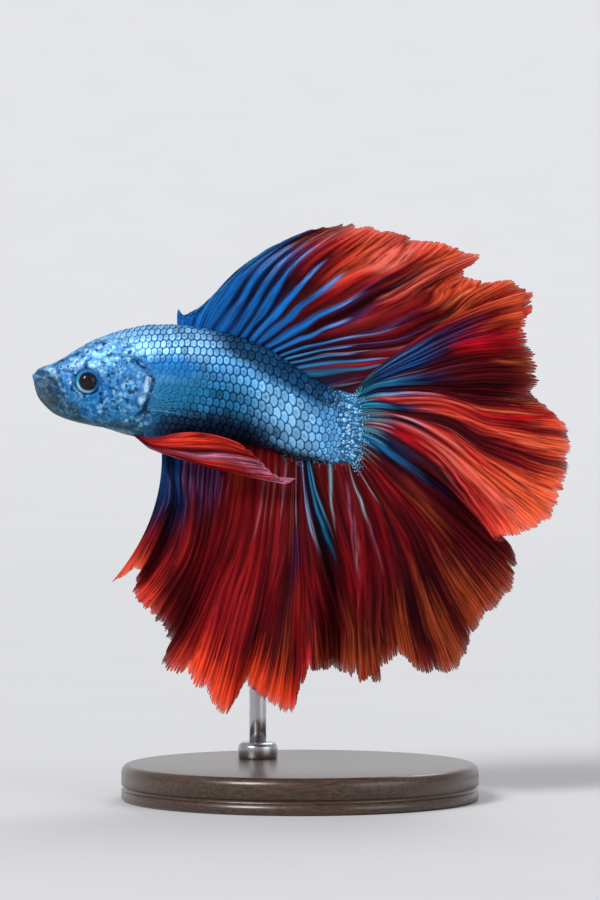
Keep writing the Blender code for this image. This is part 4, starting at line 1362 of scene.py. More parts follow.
ANAL_CHART = (
    (0.000, "blue blue navy wine scarlet orange"),
    (0.030, "blue blue blue violet crimson orange"),
    (0.050, "navy navy dusk wine crimson orange"),
    (0.080, "navy blue navy wine maroon crimson"),
    (0.110, "blue blue navy wine maroon crimson"),
    (0.145, "violet violet navy maroon crimson scarlet"),
    (0.180, "violet violet maroon crimson maroon scarlet"),
    (0.210, "maroon violet maroon crimson maroon scarlet"),
    (0.250, "maroon violet maroon ruby maroon crimson"),
    (0.300, "violet violet maroon ruby maroon maroon"),
    (0.345, "maroon ruby ruby ruby maroon maroon"),
    (0.400, "maroon crimson maroon ruby maroon ruby"),
    (0.440, "maroon ruby ruby crimson crimson flame"),
    (0.490, "maroon ruby ruby crimson crimson flame"),
    (0.530, "ruby ruby ruby crimson ruby flame"),
    (0.560, "maroon ruby maroon maroon maroon flame"),
    (0.590, "maroon crimson crimson ruby maroon flame"),
    (0.620, "maroon maroon maroon ruby maroon flame"),
    (0.660, "maroon rust maroon maroon maroon flame"),
    (0.700, "maroon maroon violet maroon rust flame"),
    (0.735, "maroon maroon violet crimson maroon flame"),
    (0.765, "maroon wine maroon crimson crimson crimson"),
    (0.800, "maroon maroon maroon ruby maroon crimson"),
    (0.840, "violet maroon maroon ruby maroon rust"),
    (0.875, "dusk dusk maroon maroon maroon rust"),
    (0.900, "black black black wine maroon rust"),
    (0.925, "black black black maroon rust rust"),
    (0.940, "maroon maroon ruby ruby rust rust"),
    (1.000, "maroon maroon crimson crimson rust rust"),
)
CAUDAL_CHART = (
    (0.000, "navy dusk crimson crimson orange orange"),
    (0.030, "navy blue blue violet crimson orange"),
    (0.060, "navy dusk blue violet crimson orange"),
    (0.100, "navy dusk blue violet blaze crimson"),
    (0.130, "navy navy blue maroon blaze crimson"),
    (0.155, "navy navy dusk wine ruby ruby"),
    (0.180, "navy azure maroon maroon ruby rust"),
    (0.205, "navy azure blue maroon maroon rust"),
    (0.235, "navy azure navy maroon maroon maroon"),
    (0.270, "blue dusk wine wine wine maroon"),
    (0.300, "navy dusk maroon wine wine maroon"),
    (0.325, "navy blue wine wine maroon rust"),
    (0.345, "navy lilac scarlet crimson scarlet scarlet"),
    (0.365, "navy scarlet scarlet scarlet blaze scarlet"),
    (0.385, "navy crimson scarlet crimson ruby orange"),
    (0.405, "navy navy scarlet scarlet ruby maroon"),
    (0.425, "navy navy scarlet scarlet orange orange"),
    (0.445, "navy wine maroon maroon scarlet orange"),
    (0.465, "navy wine wine wine maroon maroon"),
    (0.485, "navy maroon wine maroon crimson orange"),
    (0.505, "navy rose crimson scarlet orange orange"),
    (0.530, "navy rose scarlet scarlet orange orange"),
    (0.548, "navy dusk crimson orange orange orange"),
    (0.570, "navy rose coral coral coral orange"),
    (0.585, "navy blaze coral scarlet scarlet orange"),
    (0.600, "navy blaze ruby ruby scarlet scarlet"),
    (0.612, "navy wine wine wine crimson crimson"),
    (0.635, "navy blue wine wine maroon maroon"),
    (0.655, "navy azure navy wine maroon maroon"),
    (0.680, "blue dusk maroon wine maroon maroon"),
    (0.705, "maroon maroon maroon maroon maroon rust"),
    (0.735, "maroon maroon rust maroon maroon rust"),
    (0.770, "maroon ruby ruby maroon rust rust"),
    (0.800, "maroon crimson maroon maroon rust rust"),
    (0.830, "maroon ruby maroon wine maroon wine"),
    (0.860, "maroon maroon maroon wine rust rust"),
    (0.885, "maroon maroon ruby maroon rust rust"),
    (0.910, "maroon maroon maroon wine wine maroon"),
    (0.940, "maroon ruby ruby maroon rust rust"),
    (0.970, "maroon maroon ruby maroon maroon rust"),
    (1.000, "maroon maroon ruby ruby rust rust"),
)
PELVIC_CHARTS = {
    "left": (
        (0.00, "violet rose rose rose blush blush"),
        (0.16, "violet rose maroon crimson rose blush"),
        (0.30, "violet maroon ruby crimson scarlet blush"),
        (0.44, "violet maroon crimson scarlet crimson blush"),
        (0.56, "violet ruby crimson scarlet rose blush"),
        (0.64, "violet rose blush blush blush blush"),
        (0.70, "maroon ruby rose blush rose rose"),
        (0.75, "ruby ruby wine wine ruby crimson"),
        (0.82, "crimson scarlet scarlet scarlet scarlet scarlet"),
        (0.90, "crimson scarlet flame flame scarlet scarlet"),
        (0.95, "ruby crimson scarlet crimson scarlet scarlet"),
        (1.00, "crimson crimson scarlet scarlet scarlet scarlet"),
    ),
    "right": (
        (0.00, "maroon rose rose rust rust maroon"),
        (0.50, "maroon maroon maroon rust rust rust"),
        (1.00, "maroon maroon crimson rust rust rust"),
    ),
}
SNOW = (0.46, 0.62, 0.70)
MAUVE = (0.22, 0.11, 0.28)
SHADOW = (0.006, 0.001, 0.002)
# The tail fin's bare ray roots that show beyond the scales: place, how far out, colour.
ROOT_RAYS = (
    (0.012, 0.20, (0.04, 0.28, 0.46)),
    (0.038, 0.18, (0.06, 0.38, 0.58)),
    (0.075, 0.16, (0.03, 0.22, 0.42)),
    (0.115, 0.16, (0.04, 0.26, 0.46)),
    (0.150, 0.14, (0.04, 0.26, 0.42)),
    (0.185, 0.20, (0.07, 0.42, 0.62)),
    (0.222, 0.26, (0.03, 0.36, 0.60)),
    (0.262, 0.14, (0.03, 0.24, 0.40)),
    (0.298, 0.10, (0.03, 0.20, 0.34)),
    (0.332, 0.17, (0.03, 0.40, 0.62)),
    (0.352, 0.17, (0.06, 0.44, 0.64)),
    (0.380, 0.12, (0.03, 0.36, 0.58)),
    (0.408, 0.19, (0.02, 0.34, 0.60)),
    (0.436, 0.18, (0.03, 0.36, 0.60)),
    (0.462, 0.13, (0.04, 0.28, 0.44)),
    (0.486, 0.17, (0.08, 0.42, 0.58)),
    (0.512, 0.15, (0.10, 0.36, 0.48)),
    (0.545, 0.15, (0.05, 0.30, 0.44)),
    (0.575, 0.17, (0.14, 0.44, 0.58)),
    (0.612, 0.12, (0.10, 0.34, 0.44)),
    (0.640, 0.16, (0.05, 0.28, 0.46)),
    (0.680, 0.12, (0.06, 0.28, 0.40)),
    (0.720, 0.13, (0.10, 0.26, 0.30)),
    (0.765, 0.12, (0.12, 0.28, 0.30)),
)
# Rays that stand out, and painted shadow lines: place where it starts, place where it ends, from, to, half
# width, colour, strength.
DORSAL_STREAKS = (
    (0.172, 0.172, 0.42, 0.76, 0.010, (0.20, 0.34, 0.78), 0.7),
    (0.228, 0.228, 0.50, 0.76, 0.010, (0.24, 0.36, 0.78), 0.7),
    (0.290, 0.288, 0.50, 0.64, 0.007, (0.20, 0.28, 0.70), 0.6),
    (0.407, 0.407, 0.40, 0.62, 0.003, (0.03, 0.09, 0.35), 0.8),
    (0.490, 0.487, 0.60, 0.95, 0.010, (0.95, 0.21, 0.15), 0.6),
    (0.505, 0.508, 0.62, 0.97, 0.005, (0.96, 0.26, 0.19), 0.6),
    (0.528, 0.524, 0.28, 0.50, 0.004, (0.20, 0.14, 0.40), 0.8),
    (0.524, 0.520, 0.48, 0.66, 0.004, (0.10, 0.015, 0.09), 0.7),
    (0.585, 0.580, 0.16, 0.38, 0.004, (0.18, 0.22, 0.50), 0.8),
    (0.655, 0.664, 0.18, 0.46, 0.004, (0.20, 0.24, 0.46), 0.7),
    (0.690, 0.716, 0.16, 0.48, 0.004, (0.16, 0.10, 0.30), 0.8),
    (0.741, 0.752, 0.12, 0.30, 0.005, (0.48, 0.30, 0.40), 0.8),
    (0.752, 0.764, 0.30, 0.56, 0.004, (0.40, 0.09, 0.13), 0.7),
    (0.803, 0.806, 0.16, 0.34, 0.005, (0.24, 0.18, 0.36), 0.75),
    (0.857, 0.848, 0.15, 0.30, 0.004, (0.12, 0.24, 0.42), 0.7),
    (0.930, 0.960, 0.02, 0.14, 0.006, (0.16, 0.22, 0.24), 0.7),
    (0.570, 0.575, 0.56, 0.95, 0.004, (0.90, 0.20, 0.14), 0.6),
    (0.555, 0.560, 0.62, 0.80, 0.003, (0.26, 0.16, 0.34), 0.5),
    (0.672, 0.690, 0.66, 0.90, 0.006, (0.88, 0.22, 0.06), 0.7),
    (0.720, 0.750, 0.68, 0.92, 0.007, (0.85, 0.16, 0.05), 0.7),
    (0.785, 0.810, 0.74, 0.95, 0.006, (0.88, 0.17, 0.08), 0.6),
    # painted shadow lines between the rays
    (0.535, 0.545, 0.60, 1.00, 0.004, SHADOW, 0.65),
    (0.615, 0.610, 0.28, 0.88, 0.008, (0.10, 0.014, 0.005), 0.5),
    (0.650, 0.668, 0.76, 1.00, 0.004, SHADOW, 0.65),
    (0.700, 0.705, 0.52, 0.74, 0.010, (0.05, 0.016, 0.008), 0.5),
    (0.765, 0.775, 0.66, 1.00, 0.004, SHADOW, 0.6),
    (0.400, 0.402, 0.60, 0.90, 0.003, SHADOW, 0.5),
    (0.452, 0.450, 0.34, 0.80, 0.003, SHADOW, 0.5),
)
ANAL_STREAKS = (
    (0.012, 0.010, 0.08, 0.45, 0.006, (0.006, 0.045, 0.14), 0.8),
    (0.030, 0.046, 0.26, 0.66, 0.004, (0.07, 0.07, 0.24), 0.8),
    (0.060, 0.060, 0.06, 0.34, 0.006, (0.004, 0.020, 0.085), 0.8),
    (0.100, 0.104, 0.04, 0.40, 0.006, (0.008, 0.065, 0.25), 0.9),
    (0.122, 0.122, 0.04, 0.40, 0.006, (0.010, 0.070, 0.27), 0.9),
    (0.146, 0.142, 0.06, 0.32, 0.004, (0.15, 0.14, 0.26), 0.7),
    (0.160, 0.158, 0.34, 0.52, 0.003, (0.10, 0.06, 0.20), 0.6),
    (0.176, 0.174, 0.06, 0.34, 0.004, MAUVE, 0.75),
    (0.204, 0.203, 0.06, 0.30, 0.0035, MAUVE, 0.7),
    (0.226, 0.224, 0.06, 0.34, 0.004, MAUVE, 0.7),
    (0.252, 0.250, 0.06, 0.26, 0.003, (0.20, 0.05, 0.08), 0.6),
    (0.276, 0.272, 0.06, 0.36, 0.004, MAUVE, 0.65),
    (0.306, 0.304, 0.06, 0.30, 0.004, MAUVE, 0.6),
    (0.330, 0.328, 0.16, 0.32, 0.003, MAUVE, 0.5),
    (0.358, 0.352, 0.16, 0.28, 0.003, MAUVE, 0.5),
    (0.400, 0.400, 0.08, 0.21, 0.032, (0.30, 0.028, 0.010), 0.8),
    (0.325, 0.325, 0.08, 0.17, 0.012, (0.004, 0.002, 0.002), 0.8),
    (0.498, 0.478, 0.10, 0.40, 0.004, (0.34, 0.11, 0.12), 0.7),
    (0.522, 0.508, 0.10, 0.36, 0.004, (0.30, 0.09, 0.10), 0.65),
    (0.555, 0.545, 0.08, 0.34, 0.006, (0.30, 0.11, 0.09), 0.7),
    (0.597, 0.590, 0.04, 0.30, 0.005, (0.38, 0.15, 0.19), 0.75),
    (0.590, 0.598, 0.30, 0.62, 0.005, (0.28, 0.018, 0.035), 0.6),
    (0.712, 0.732, 0.02, 0.30, 0.012, (0.40, 0.26, 0.42), 0.8),
    (0.735, 0.750, 0.28, 0.46, 0.010, (0.12, 0.03, 0.12), 0.7),
    (0.745, 0.765, 0.45, 0.68, 0.012, (0.40, 0.035, 0.018), 0.55),
    (0.775, 0.790, 0.60, 0.95, 0.004, (0.30, 0.02, 0.02), 0.5),
    (0.832, 0.884, 0.00, 0.46, 0.0065, (0.27, 0.35, 0.68), 0.95),
    (0.862, 0.893, 0.14, 0.46, 0.0035, (0.22, 0.38, 0.46), 0.7),
    (0.902, 0.924, 0.00, 0.50, 0.0050, (0.016, 0.20, 0.44), 0.95),
    (0.918, 0.933, 0.00, 0.38, 0.0034, (0.06, 0.32, 0.50), 0.85),
    (0.968, 0.940, 0.00, 0.34, 0.0022, (0.28, 0.46, 0.50), 0.85),
    (0.990, 0.962, 0.10, 0.56, 0.0020, (0.34, 0.13, 0.25), 0.6),
    (0.185, 0.185, 0.50, 0.74, 0.020, (0.32, 0.012, 0.012), 0.6),
    # painted shadow lines
    (0.247, 0.250, 0.50, 0.85, 0.012, SHADOW, 0.5),
    (0.080, 0.070, 0.40, 0.72, 0.020, SHADOW, 0.55),
    (0.345, 0.345, 0.22, 0.44, 0.026, SHADOW, 0.4),
    (0.655, 0.660, 0.42, 0.78, 0.026, SHADOW, 0.4),
    (0.895, 0.900, 0.42, 0.76, 0.008, SHADOW, 0.7),
)
CAUDAL_STREAKS = (
    (0.040, 0.030, 0.12, 0.54, 0.0055, (0.060, 0.27, 0.55), 0.95),
    (0.070, 0.055, 0.14, 0.56, 0.0042, (0.030, 0.15, 0.46), 0.9),
    (0.088, 0.075, 0.16, 0.56, 0.0042, (0.045, 0.13, 0.40), 0.9),
    (0.112, 0.102, 0.14, 0.58, 0.0070, (0.014, 0.080, 0.36), 0.9),
    (0.128, 0.122, 0.14, 0.46, 0.0050, (0.030, 0.15, 0.46), 0.9),
    (0.165, 0.168, 0.20, 0.44, 0.0035, (0.26, 0.13, 0.25), 0.7),
    (0.188, 0.190, 0.50, 0.72, 0.003, (0.15, 0.02, 0.09), 0.5),
    (0.205, 0.210, 0.24, 0.50, 0.004, (0.03, 0.02, 0.12), 0.6),
    (0.222, 0.215, 0.04, 0.34, 0.014, (0.014, 0.15, 0.29), 0.8),
    (0.240, 0.236, 0.04, 0.22, 0.004, (0.05, 0.24, 0.40), 0.7),
    (0.190, 0.195, 0.78, 1.00, 0.005, (0.66, 0.14, 0.05), 0.6),
    (0.118, 0.122, 0.60, 0.82, 0.020, (0.80, 0.008, 0.020), 0.8),
    (0.070, 0.045, 0.76, 0.98, 0.010, (0.50, 0.05, 0.012), 0.6),
    (0.290, 0.295, 0.08, 0.34, 0.004, (0.05, 0.02, 0.06), 0.6),
    (0.355, 0.338, 0.10, 0.28, 0.009, (0.46, 0.48, 0.74), 0.85),
    (0.338, 0.333, 0.24, 0.34, 0.009, (0.78, 0.38, 0.45), 0.8),
    (0.333, 0.343, 0.30, 0.46, 0.007, (0.88, 0.19, 0.13), 0.8),
    (0.372, 0.368, 0.14, 0.46, 0.004, (0.85, 0.15, 0.09), 0.8),
    (0.385, 0.378, 0.18, 0.46, 0.0025, (0.16, 0.004, 0.004), 0.7),
    (0.398, 0.388, 0.20, 0.46, 0.0035, (0.80, 0.12, 0.07), 0.8),
    (0.375, 0.350, 0.42, 0.60, 0.0045, (0.85, 0.14, 0.09), 0.8),
    (0.350, 0.357, 0.56, 0.97, 0.004, (0.92, 0.17, 0.08), 0.85),
    (0.366, 0.370, 0.56, 0.92, 0.007, (0.50, 0.002, 0.004), 0.6),
    (0.412, 0.427, 0.03, 0.20, 0.008, (0.03, 0.19, 0.36), 0.85),
    (0.418, 0.428, 0.18, 0.31, 0.004, (0.05, 0.07, 0.18), 0.7),
    (0.424, 0.432, 0.29, 0.44, 0.004, (0.85, 0.13, 0.08), 0.85),
    (0.432, 0.410, 0.42, 0.56, 0.004, (0.85, 0.13, 0.08), 0.85),
    (0.410, 0.437, 0.54, 0.76, 0.0045, (0.88, 0.13, 0.07), 0.85),
    (0.437, 0.443, 0.74, 0.98, 0.005, (0.88, 0.18, 0.08), 0.8),
    (0.448, 0.438, 0.50, 0.72, 0.003, (0.55, 0.05, 0.03), 0.6),
    (0.540, 0.537, 0.03, 0.14, 0.0035, (0.50, 0.58, 0.64), 0.75),
    (0.530, 0.527, 0.18, 0.34, 0.006, (0.82, 0.48, 0.54), 0.85),
    (0.527, 0.533, 0.32, 0.54, 0.005, (0.88, 0.28, 0.22), 0.7),
    (0.546, 0.546, 0.16, 0.32, 0.004, SHADOW, 0.8),
    (0.493, 0.490, 0.32, 0.58, 0.0025, (0.55, 0.09, 0.07), 0.6),
    (0.500, 0.520, 0.44, 0.98, 0.0025, (0.80, 0.16, 0.10), 0.7),
    # painted shadow lines between the rays
    (0.506, 0.526, 0.48, 0.98, 0.0022, (0.08, 0.001, 0.003), 0.75),
    (0.515, 0.545, 0.44, 0.68, 0.0028, (0.06, 0.001, 0.003), 0.7),
    (0.549, 0.551, 0.60, 0.96, 0.0022, (0.10, 0.002, 0.003), 0.6),
    (0.573, 0.570, 0.16, 0.95, 0.006, (0.94, 0.11, 0.07), 0.6),
    (0.590, 0.590, 0.04, 0.16, 0.0022, (0.56, 0.62, 0.68), 0.8),
    (0.602, 0.604, 0.03, 0.16, 0.0022, (0.40, 0.46, 0.52), 0.6),
    (0.620, 0.625, 0.02, 0.14, 0.0025, (0.22, 0.32, 0.40), 0.6),
    (0.585, 0.590, 0.24, 0.98, 0.0022, (0.14, 0.001, 0.003), 0.7),
    (0.594, 0.600, 0.28, 0.98, 0.0022, (0.80, 0.07, 0.05), 0.8),
    (0.599, 0.605, 0.28, 0.98, 0.0018, SHADOW, 0.8),
    (0.604, 0.611, 0.36, 0.92, 0.0018, (0.66, 0.06, 0.05), 0.7),
    (0.652, 0.652, 0.05, 0.32, 0.010, (0.008, 0.13, 0.36), 0.9),
    (0.662, 0.668, 0.26, 0.44, 0.008, (0.005, 0.025, 0.085), 0.7),
    (0.700, 0.715, 0.26, 0.46, 0.010, (0.24, 0.028, 0.012), 0.5),
    (0.755, 0.765, 0.10, 0.60, 0.005, (0.22, 0.010, 0.012), 0.5),
    (0.800, 0.800, 0.00, 0.08, 0.003, SNOW, 0.5),
    (0.850, 0.850, 0.00, 0.09, 0.004, SNOW, 0.6),
    (0.940, 0.912, 0.02, 0.24, 0.004, (0.32, 0.44, 0.44), 0.8),
    (0.985, 0.972, 0.00, 0.32, 0.0036, SNOW, 0.9),
    (0.972, 0.966, 0.30, 0.58, 0.0022, (0.28, 0.13, 0.24), 0.6),
    (0.998, 0.994, 0.24, 0.55, 0.0020, (0.40, 0.16, 0.22), 0.6),
    (0.888, 0.878, 0.48, 0.96, 0.006, (0.32, 0.05, 0.018), 0.55),
    # painted shadow lines
    (0.918, 0.925, 0.30, 0.96, 0.010, SHADOW, 0.5),
    (0.838, 0.835, 0.28, 0.72, 0.012, SHADOW, 0.4),
    *((at, at, -0.05, far, 0.0085, tint, 0.9) for at, far, tint in ROOT_RAYS),
)
# The dorsal fin's broad blue ribs: place, half width at each of RIB_OUTS, end.
RIB_OUTS = (0.0, 0.1, 0.2, 0.3, 0.4, 0.5, 0.6)
DORSAL_RIBS = (
    (0.022, (0.012, 0.012, 0.012, 0.012, 0.012, 0.011, 0.010), 1.02),
    (0.055, (0.013, 0.013, 0.013, 0.013, 0.012, 0.011, 0.010), 1.00),
    (0.090, (0.013, 0.013, 0.013, 0.013, 0.012, 0.011, 0.010), 1.00),
    (0.125, (0.015, 0.015, 0.014, 0.013, 0.012, 0.011, 0.010), 0.96),
    (0.170, (0.018, 0.017, 0.016, 0.014, 0.013, 0.012, 0.010), 0.76),
    (0.228, (0.020, 0.019, 0.018, 0.016, 0.015, 0.014, 0.012), 0.76),
    (0.290, (0.020, 0.020, 0.019, 0.017, 0.014, 0.011, 0.006), 0.66),
    (0.345, (0.020, 0.021, 0.020, 0.016, 0.010, 0.008, 0.006), 0.76),
    (0.410, (0.021, 0.023, 0.021, 0.014, 0.007, 0.005, 0.004), 0.64),
    (0.465, (0.019, 0.021, 0.015, 0.009, 0.007, 0.005, 0.002), 0.57),
    (0.530, (0.021, 0.021, 0.015, 0.009, 0.005, 0.003, 0.002), 0.50),
    (0.585, (0.019, 0.017, 0.010, 0.006, 0.004, 0.002, 0.002), 0.40),
    (0.655, (0.015, 0.013, 0.008, 0.004, 0.002, 0.002, 0.002), 0.32),
    (0.705, (0.015, 0.009, 0.005, 0.003, 0.002, 0.002, 0.002), 0.24),
    (0.755, (0.014, 0.012, 0.006, 0.003, 0.002, 0.002, 0.002), 0.22),
    (0.805, (0.016, 0.014, 0.009, 0.006, 0.002, 0.002, 0.002), 0.30),
    (0.855, (0.019, 0.013, 0.009, 0.006, 0.002, 0.002, 0.002), 0.28),
)
RIB_NEAR = (0.008, 0.135, 0.46)
RIB_REAR = (0.026, 0.17, 0.34)
RIB_TIP = (0.16, 0.29, 0.68)
WARM_MARGIN = (0.10, 0.013, 0.004)
CLEAR_MEMBRANE = (0.010, 0.12, 0.22)
CLEAR_RAY = (0.07, 0.36, 0.60)
FIN_GLOW = 0.2  # the share of light that goes through the coloured fins
# half a fin's thickness in mm: the membrane, what a ray adds, what a bright ray adds, what a ray's root adds
BIG_HALF = (0.035, 0.04, 0.08, 0.10)
PELVIC_HALF = (0.05, 0.06)
PECTORAL_HALF = (0.025, 0.02)
FINE_STEPS = 3000  # shares at which the rays' paths are worked out
ROOT_STEPS = 2000  # and those at which a fin's margin is measured


def fan(rays, root, shares, outs, slope):
    """Points of a fin's middle sheet. outs holds how far out each row lies, for each share of the root.

    A ray starts at its share of the root, leaves it at one bearing and has its tip at another, both in
    degrees up from rearward. The tip lies its reach away and its depth towards the right side, in mm. slope
    is how fast the root's y changes with x.
    """
    table = np.array(rays, float)
    shares = np.broadcast_to(shares if np.ndim(shares) == np.ndim(outs) else shares[:, None], outs.shape)
    leave, bearing, reach, depth = (eased(table[:, 0], table[:, k], shares) for k in (1, 2, 3, 4))
    leave, bearing = np.radians(leave), np.radians(bearing)
    start, inward = root(shares)
    tip = start + np.stack([reach * np.cos(bearing), depth, reach * np.sin(bearing)], axis=-1)
    along = np.stack([np.cos(leave), slope * np.cos(leave), np.sin(leave)], axis=-1)
    knee = start + KNEE * reach[..., None] * along
    sunk_start = start + np.minimum(ROOT_SUNK, 0.9 * reach)[..., None] * inward
    out = outs[..., None]
    start = mix(start, sunk_start, np.clip(1 - outs / SUNK_OUT, 0, 1))
    return start * (1 - out) ** 2 + knee * 2 * out * (1 - out) + tip * out**2


def dorsal_root(shares):
    """Where the rays start at these shares of the root, and the way from there into the body."""
    x = np.interp(shares, (0, 1), DORSAL_ROOT)
    return np.stack([x, spine_y(x), outline(x)[0] + ROOT_GAP], axis=-1), np.array([0.0, 0.0, -1.0])


def anal_root(shares):
    """The same for the anal fin, below the belly."""
    x = np.interp(shares, (0, 1), ANAL_ROOT)
    return np.stack([x, spine_y(x), outline(x)[2] - ROOT_GAP], axis=-1), np.array([0.0, 0.0, 1.0])


def caudal_root(shares):
    """The same for the tail fin, round the rounded end of the tail stem."""
    back, widest, belly, _ = (float(value) for value in outline(TAIL_X))
    angle = np.radians(np.interp(shares, (0, 1), CAUDAL_ROOT))
    high = np.where(angle > 0, back - widest, widest - belly) + ROOT_GAP
    x = TAIL_X + (TAIL_ROUND + 0.3) * np.cos(angle)
    start = np.stack([x, spine_y(x), widest + high * np.sin(angle)], axis=-1)
    return start, unit(np.array([TAIL_X - 2.0, float(spine_y(TAIL_X - 2.0)), widest]) - start)


def pelvic_root(side):
    """The function that says the same for the left pelvic fin, where side is 1, or for the right one."""
    def root(shares):
        x = np.interp(shares, (0, 1), PELVIC_ROOT)
        start = np.stack([x, np.full_like(x, -side * PELVIC_APART), outline(x)[2] - ROOT_GAP], axis=-1)
        return start, np.array([0.0, 0.0, 1.0])

    return root


def pectoral_root(shares):
    """The same for a pectoral fin. Its y is how far it stands off the flank."""
    x, first, last = PECTORAL_ROOT
    start = np.stack([np.full_like(shares, x), np.full_like(shares, PECTORAL_LIFT),
                      np.interp(shares, (0, 1), (first, last))], axis=-1)
    return start, np.array([-1.0, 0.0, 0.0])


def ray_places(paths, shares, outs, path_outs=PATH_OUTS):
    """Which ray lies at each share (a row of them for each out), from the key rays' paths across the fin."""
    wide = len(path_outs) + 1
    table = np.array([(0.0,) * wide, *paths, (1.0,) * wide])
    places = np.zeros(shares.shape)
    for j, out in enumerate(outs):
        at = np.array([float(eased(path_outs, row[1:], out)) for row in table])
        at = np.maximum.accumulate(at + 1e-4 * np.arange(len(at)))
        places[:, j] = np.interp(shares[:, j], at, table[:, 0])
    return places


def ray_lines(mains, splits, outs, seed):
    """The place of each fine ray at each out: every main ray forks in two at each of the splits."""
    levels = len(splits)
    fine = np.arange(mains * 2**levels)
    jitter = np.random.default_rng(seed).normal(0, 0.10, mains)
    place = (fine >> levels) + 0.5 + jitter[fine >> levels]
    lines = np.repeat(place[None] / mains, len(outs), axis=0)
    for level, split in enumerate(splits):
        half = ((fine >> (levels - level - 1)) % 2) - 0.5
        step = half / (mains * 2 ** (level + 1))
        lines = lines + step * smooth(split, split + 0.22, outs)[:, None]
    return np.sort(lines, axis=1)


def ray_profile(places, outs, mains, splits, seed):
    """For each point: 1 on a ray and 0 between two, the nearest fine ray, and 1 on a main ray."""
    fine = ray_lines(mains, splits, outs, seed)
    full_gap = 1 / fine.shape[1]
    ridge = np.zeros(places.shape)
    nearest = np.zeros(places.shape, int)
    for j in range(len(outs)):
        line, at = fine[j], places[:, j]
        after = np.clip(np.searchsorted(line, at), 1, len(line) - 1)
        low, high = line[after - 1], line[after]
        gap = np.maximum(high - low, 1e-6)
        phase = np.clip((at - low) / gap, 0, 1)
        deep = smooth(0.1 * full_gap, 0.9 * full_gap, gap)
        ridge[:, j] = 1 - deep * (0.5 - 0.5 * np.cos(2 * math.pi * phase))
        nearest[:, j] = after - 1 + (phase > 0.5)
    main = ray_lines(mains, (), outs, seed)[0]
    after = np.clip(np.searchsorted(main, places), 1, mains - 1)
    phase = np.clip((places - main[after - 1]) / (main[after] - main[after - 1]), 0, 1)
    return ridge, nearest, 0.5 + 0.5 * np.cos(2 * math.pi * phase)


def spread_shares(rays, root, slope, count):
    """Shares along the root that lie evenly along the margin."""
    dense = np.linspace(0, 1, ROOT_STEPS)
    far = 0
    for out in (1.0, 0.2):
        line = fan(rays, root, dense, np.full((ROOT_STEPS, 1), out), slope)[:, 0]
        far = far + np.linalg.norm(np.diff(line, axis=0), axis=1)
    far = running(far)
    return np.interp(np.linspace(0, far[-1], count), far, dense)


def fin_sheet(rays, root, paths, columns, rows, mains, splits, seed, fringe, locks, pleat,
              slope=0.0, bends=()):
    """A fin's middle sheet, with a fringed margin and pleats, and its rays' places and profile.

    The grid's columns follow the rays. mains says how many main rays there are, and splits where they fork.
    fringe and locks say how deep the margin is cut between fine rays and main rays, as shares of a ray, and
    pleat how high the folds are, in mm.
    """
    outs = np.linspace(0, 1, rows) ** 0.9
    dense = np.linspace(0, 1, FINE_STEPS)
    every_place = ray_places(paths, np.repeat(dense[:, None], rows, axis=1), outs)
    if bends:
        every_place = ray_places(bends, every_place, outs, BEND_OUTS)
    margin = spread_shares(rays, root, slope, columns)
    column_place = np.interp(margin, dense, every_place[:, -1])
    places = np.repeat(column_place[:, None], rows, axis=1)
    shares = np.stack([np.interp(column_place, every_place[:, j], dense) for j in range(rows)], axis=1)
    ridge, nearest, main = ray_profile(places, outs, mains, splits, seed)
    rng = np.random.default_rng(seed + 1)
    length = rng.uniform(0, 1, nearest.max() + 1) ** 2
    cut = fringe * (0.35 * length[nearest[:, -1]] + 0.65 * (1 - ridge[:, -1]) ** 1.5)
    lock = rng.uniform(0.2, 1, mains + 1)[(places[:, -1] * mains + 0.5).astype(int)]
    cut += locks * lock * (1 - main[:, -1]) ** 3
    cut += 0.5 * locks * np.abs(wander(margin, seed + 2, 0.06))
    points = fan(rays, root, shares, outs * (1 - cut[:, None] * smooth(0.70, 1.0, outs)), slope)
    normals = grid_normals(points, ring=False)
    rise = smooth(0.05, 0.8, outs)
    wave = pleat * rise * (main - 0.5) + 0.30 * pleat * rise * (ridge - 0.5)
    wave += 0.35 * pleat * rise * wander(places, seed + 3, 0.16) * smooth(0.5, 1.0, outs)
    points = points + normals * wave[..., None]
    return outs, points, grid_normals(points, ring=False), places, ridge, nearest


def fan_place(places, outs):
    """Each point's place among the rays and its out, for the streaks of the materials."""
    return np.stack([places, np.broadcast_to(outs, places.shape), 0 * places], -1).reshape(-1, 3)


def fraying(ridge, outs):
    """How clear the membrane is: a little at the very margin, and more between the fine rays there."""
    between = 0.50 * smooth(0.93, 1.0, outs) * (1 - ridge)
    return np.clip(between + 0.1 * smooth(0.97, 1.0, outs), 0, 0.6).ravel()


def chart_colours(chart, places, outs):
    """The chart's membrane colour, ray colour and ray narrowness at each place and out."""
    keys = np.array([row[0] for row in chart])
    names = [row[1].split() for row in chart]
    i = np.clip(np.searchsorted(keys, places, side="right") - 1, 0, len(keys) - 2)
    f = smooth(0, 1, (places - keys[i]) / (keys[i + 1] - keys[i]))
    at = np.clip(outs, 0, 1) * (len(PATH_OUTS) - 1)
    j = np.clip(at.astype(int), 0, len(PATH_OUTS) - 2)
    g = at - j
    found = []
    for part in range(3):
        table = np.array([[PAINTS[name][part] for name in row] for row in names], float)
        low = mix(table[i, j], table[i + 1, j], f)
        high = mix(table[i, j + 1], table[i + 1, j + 1], f)
        found.append(mix(low, high, g))
    return found


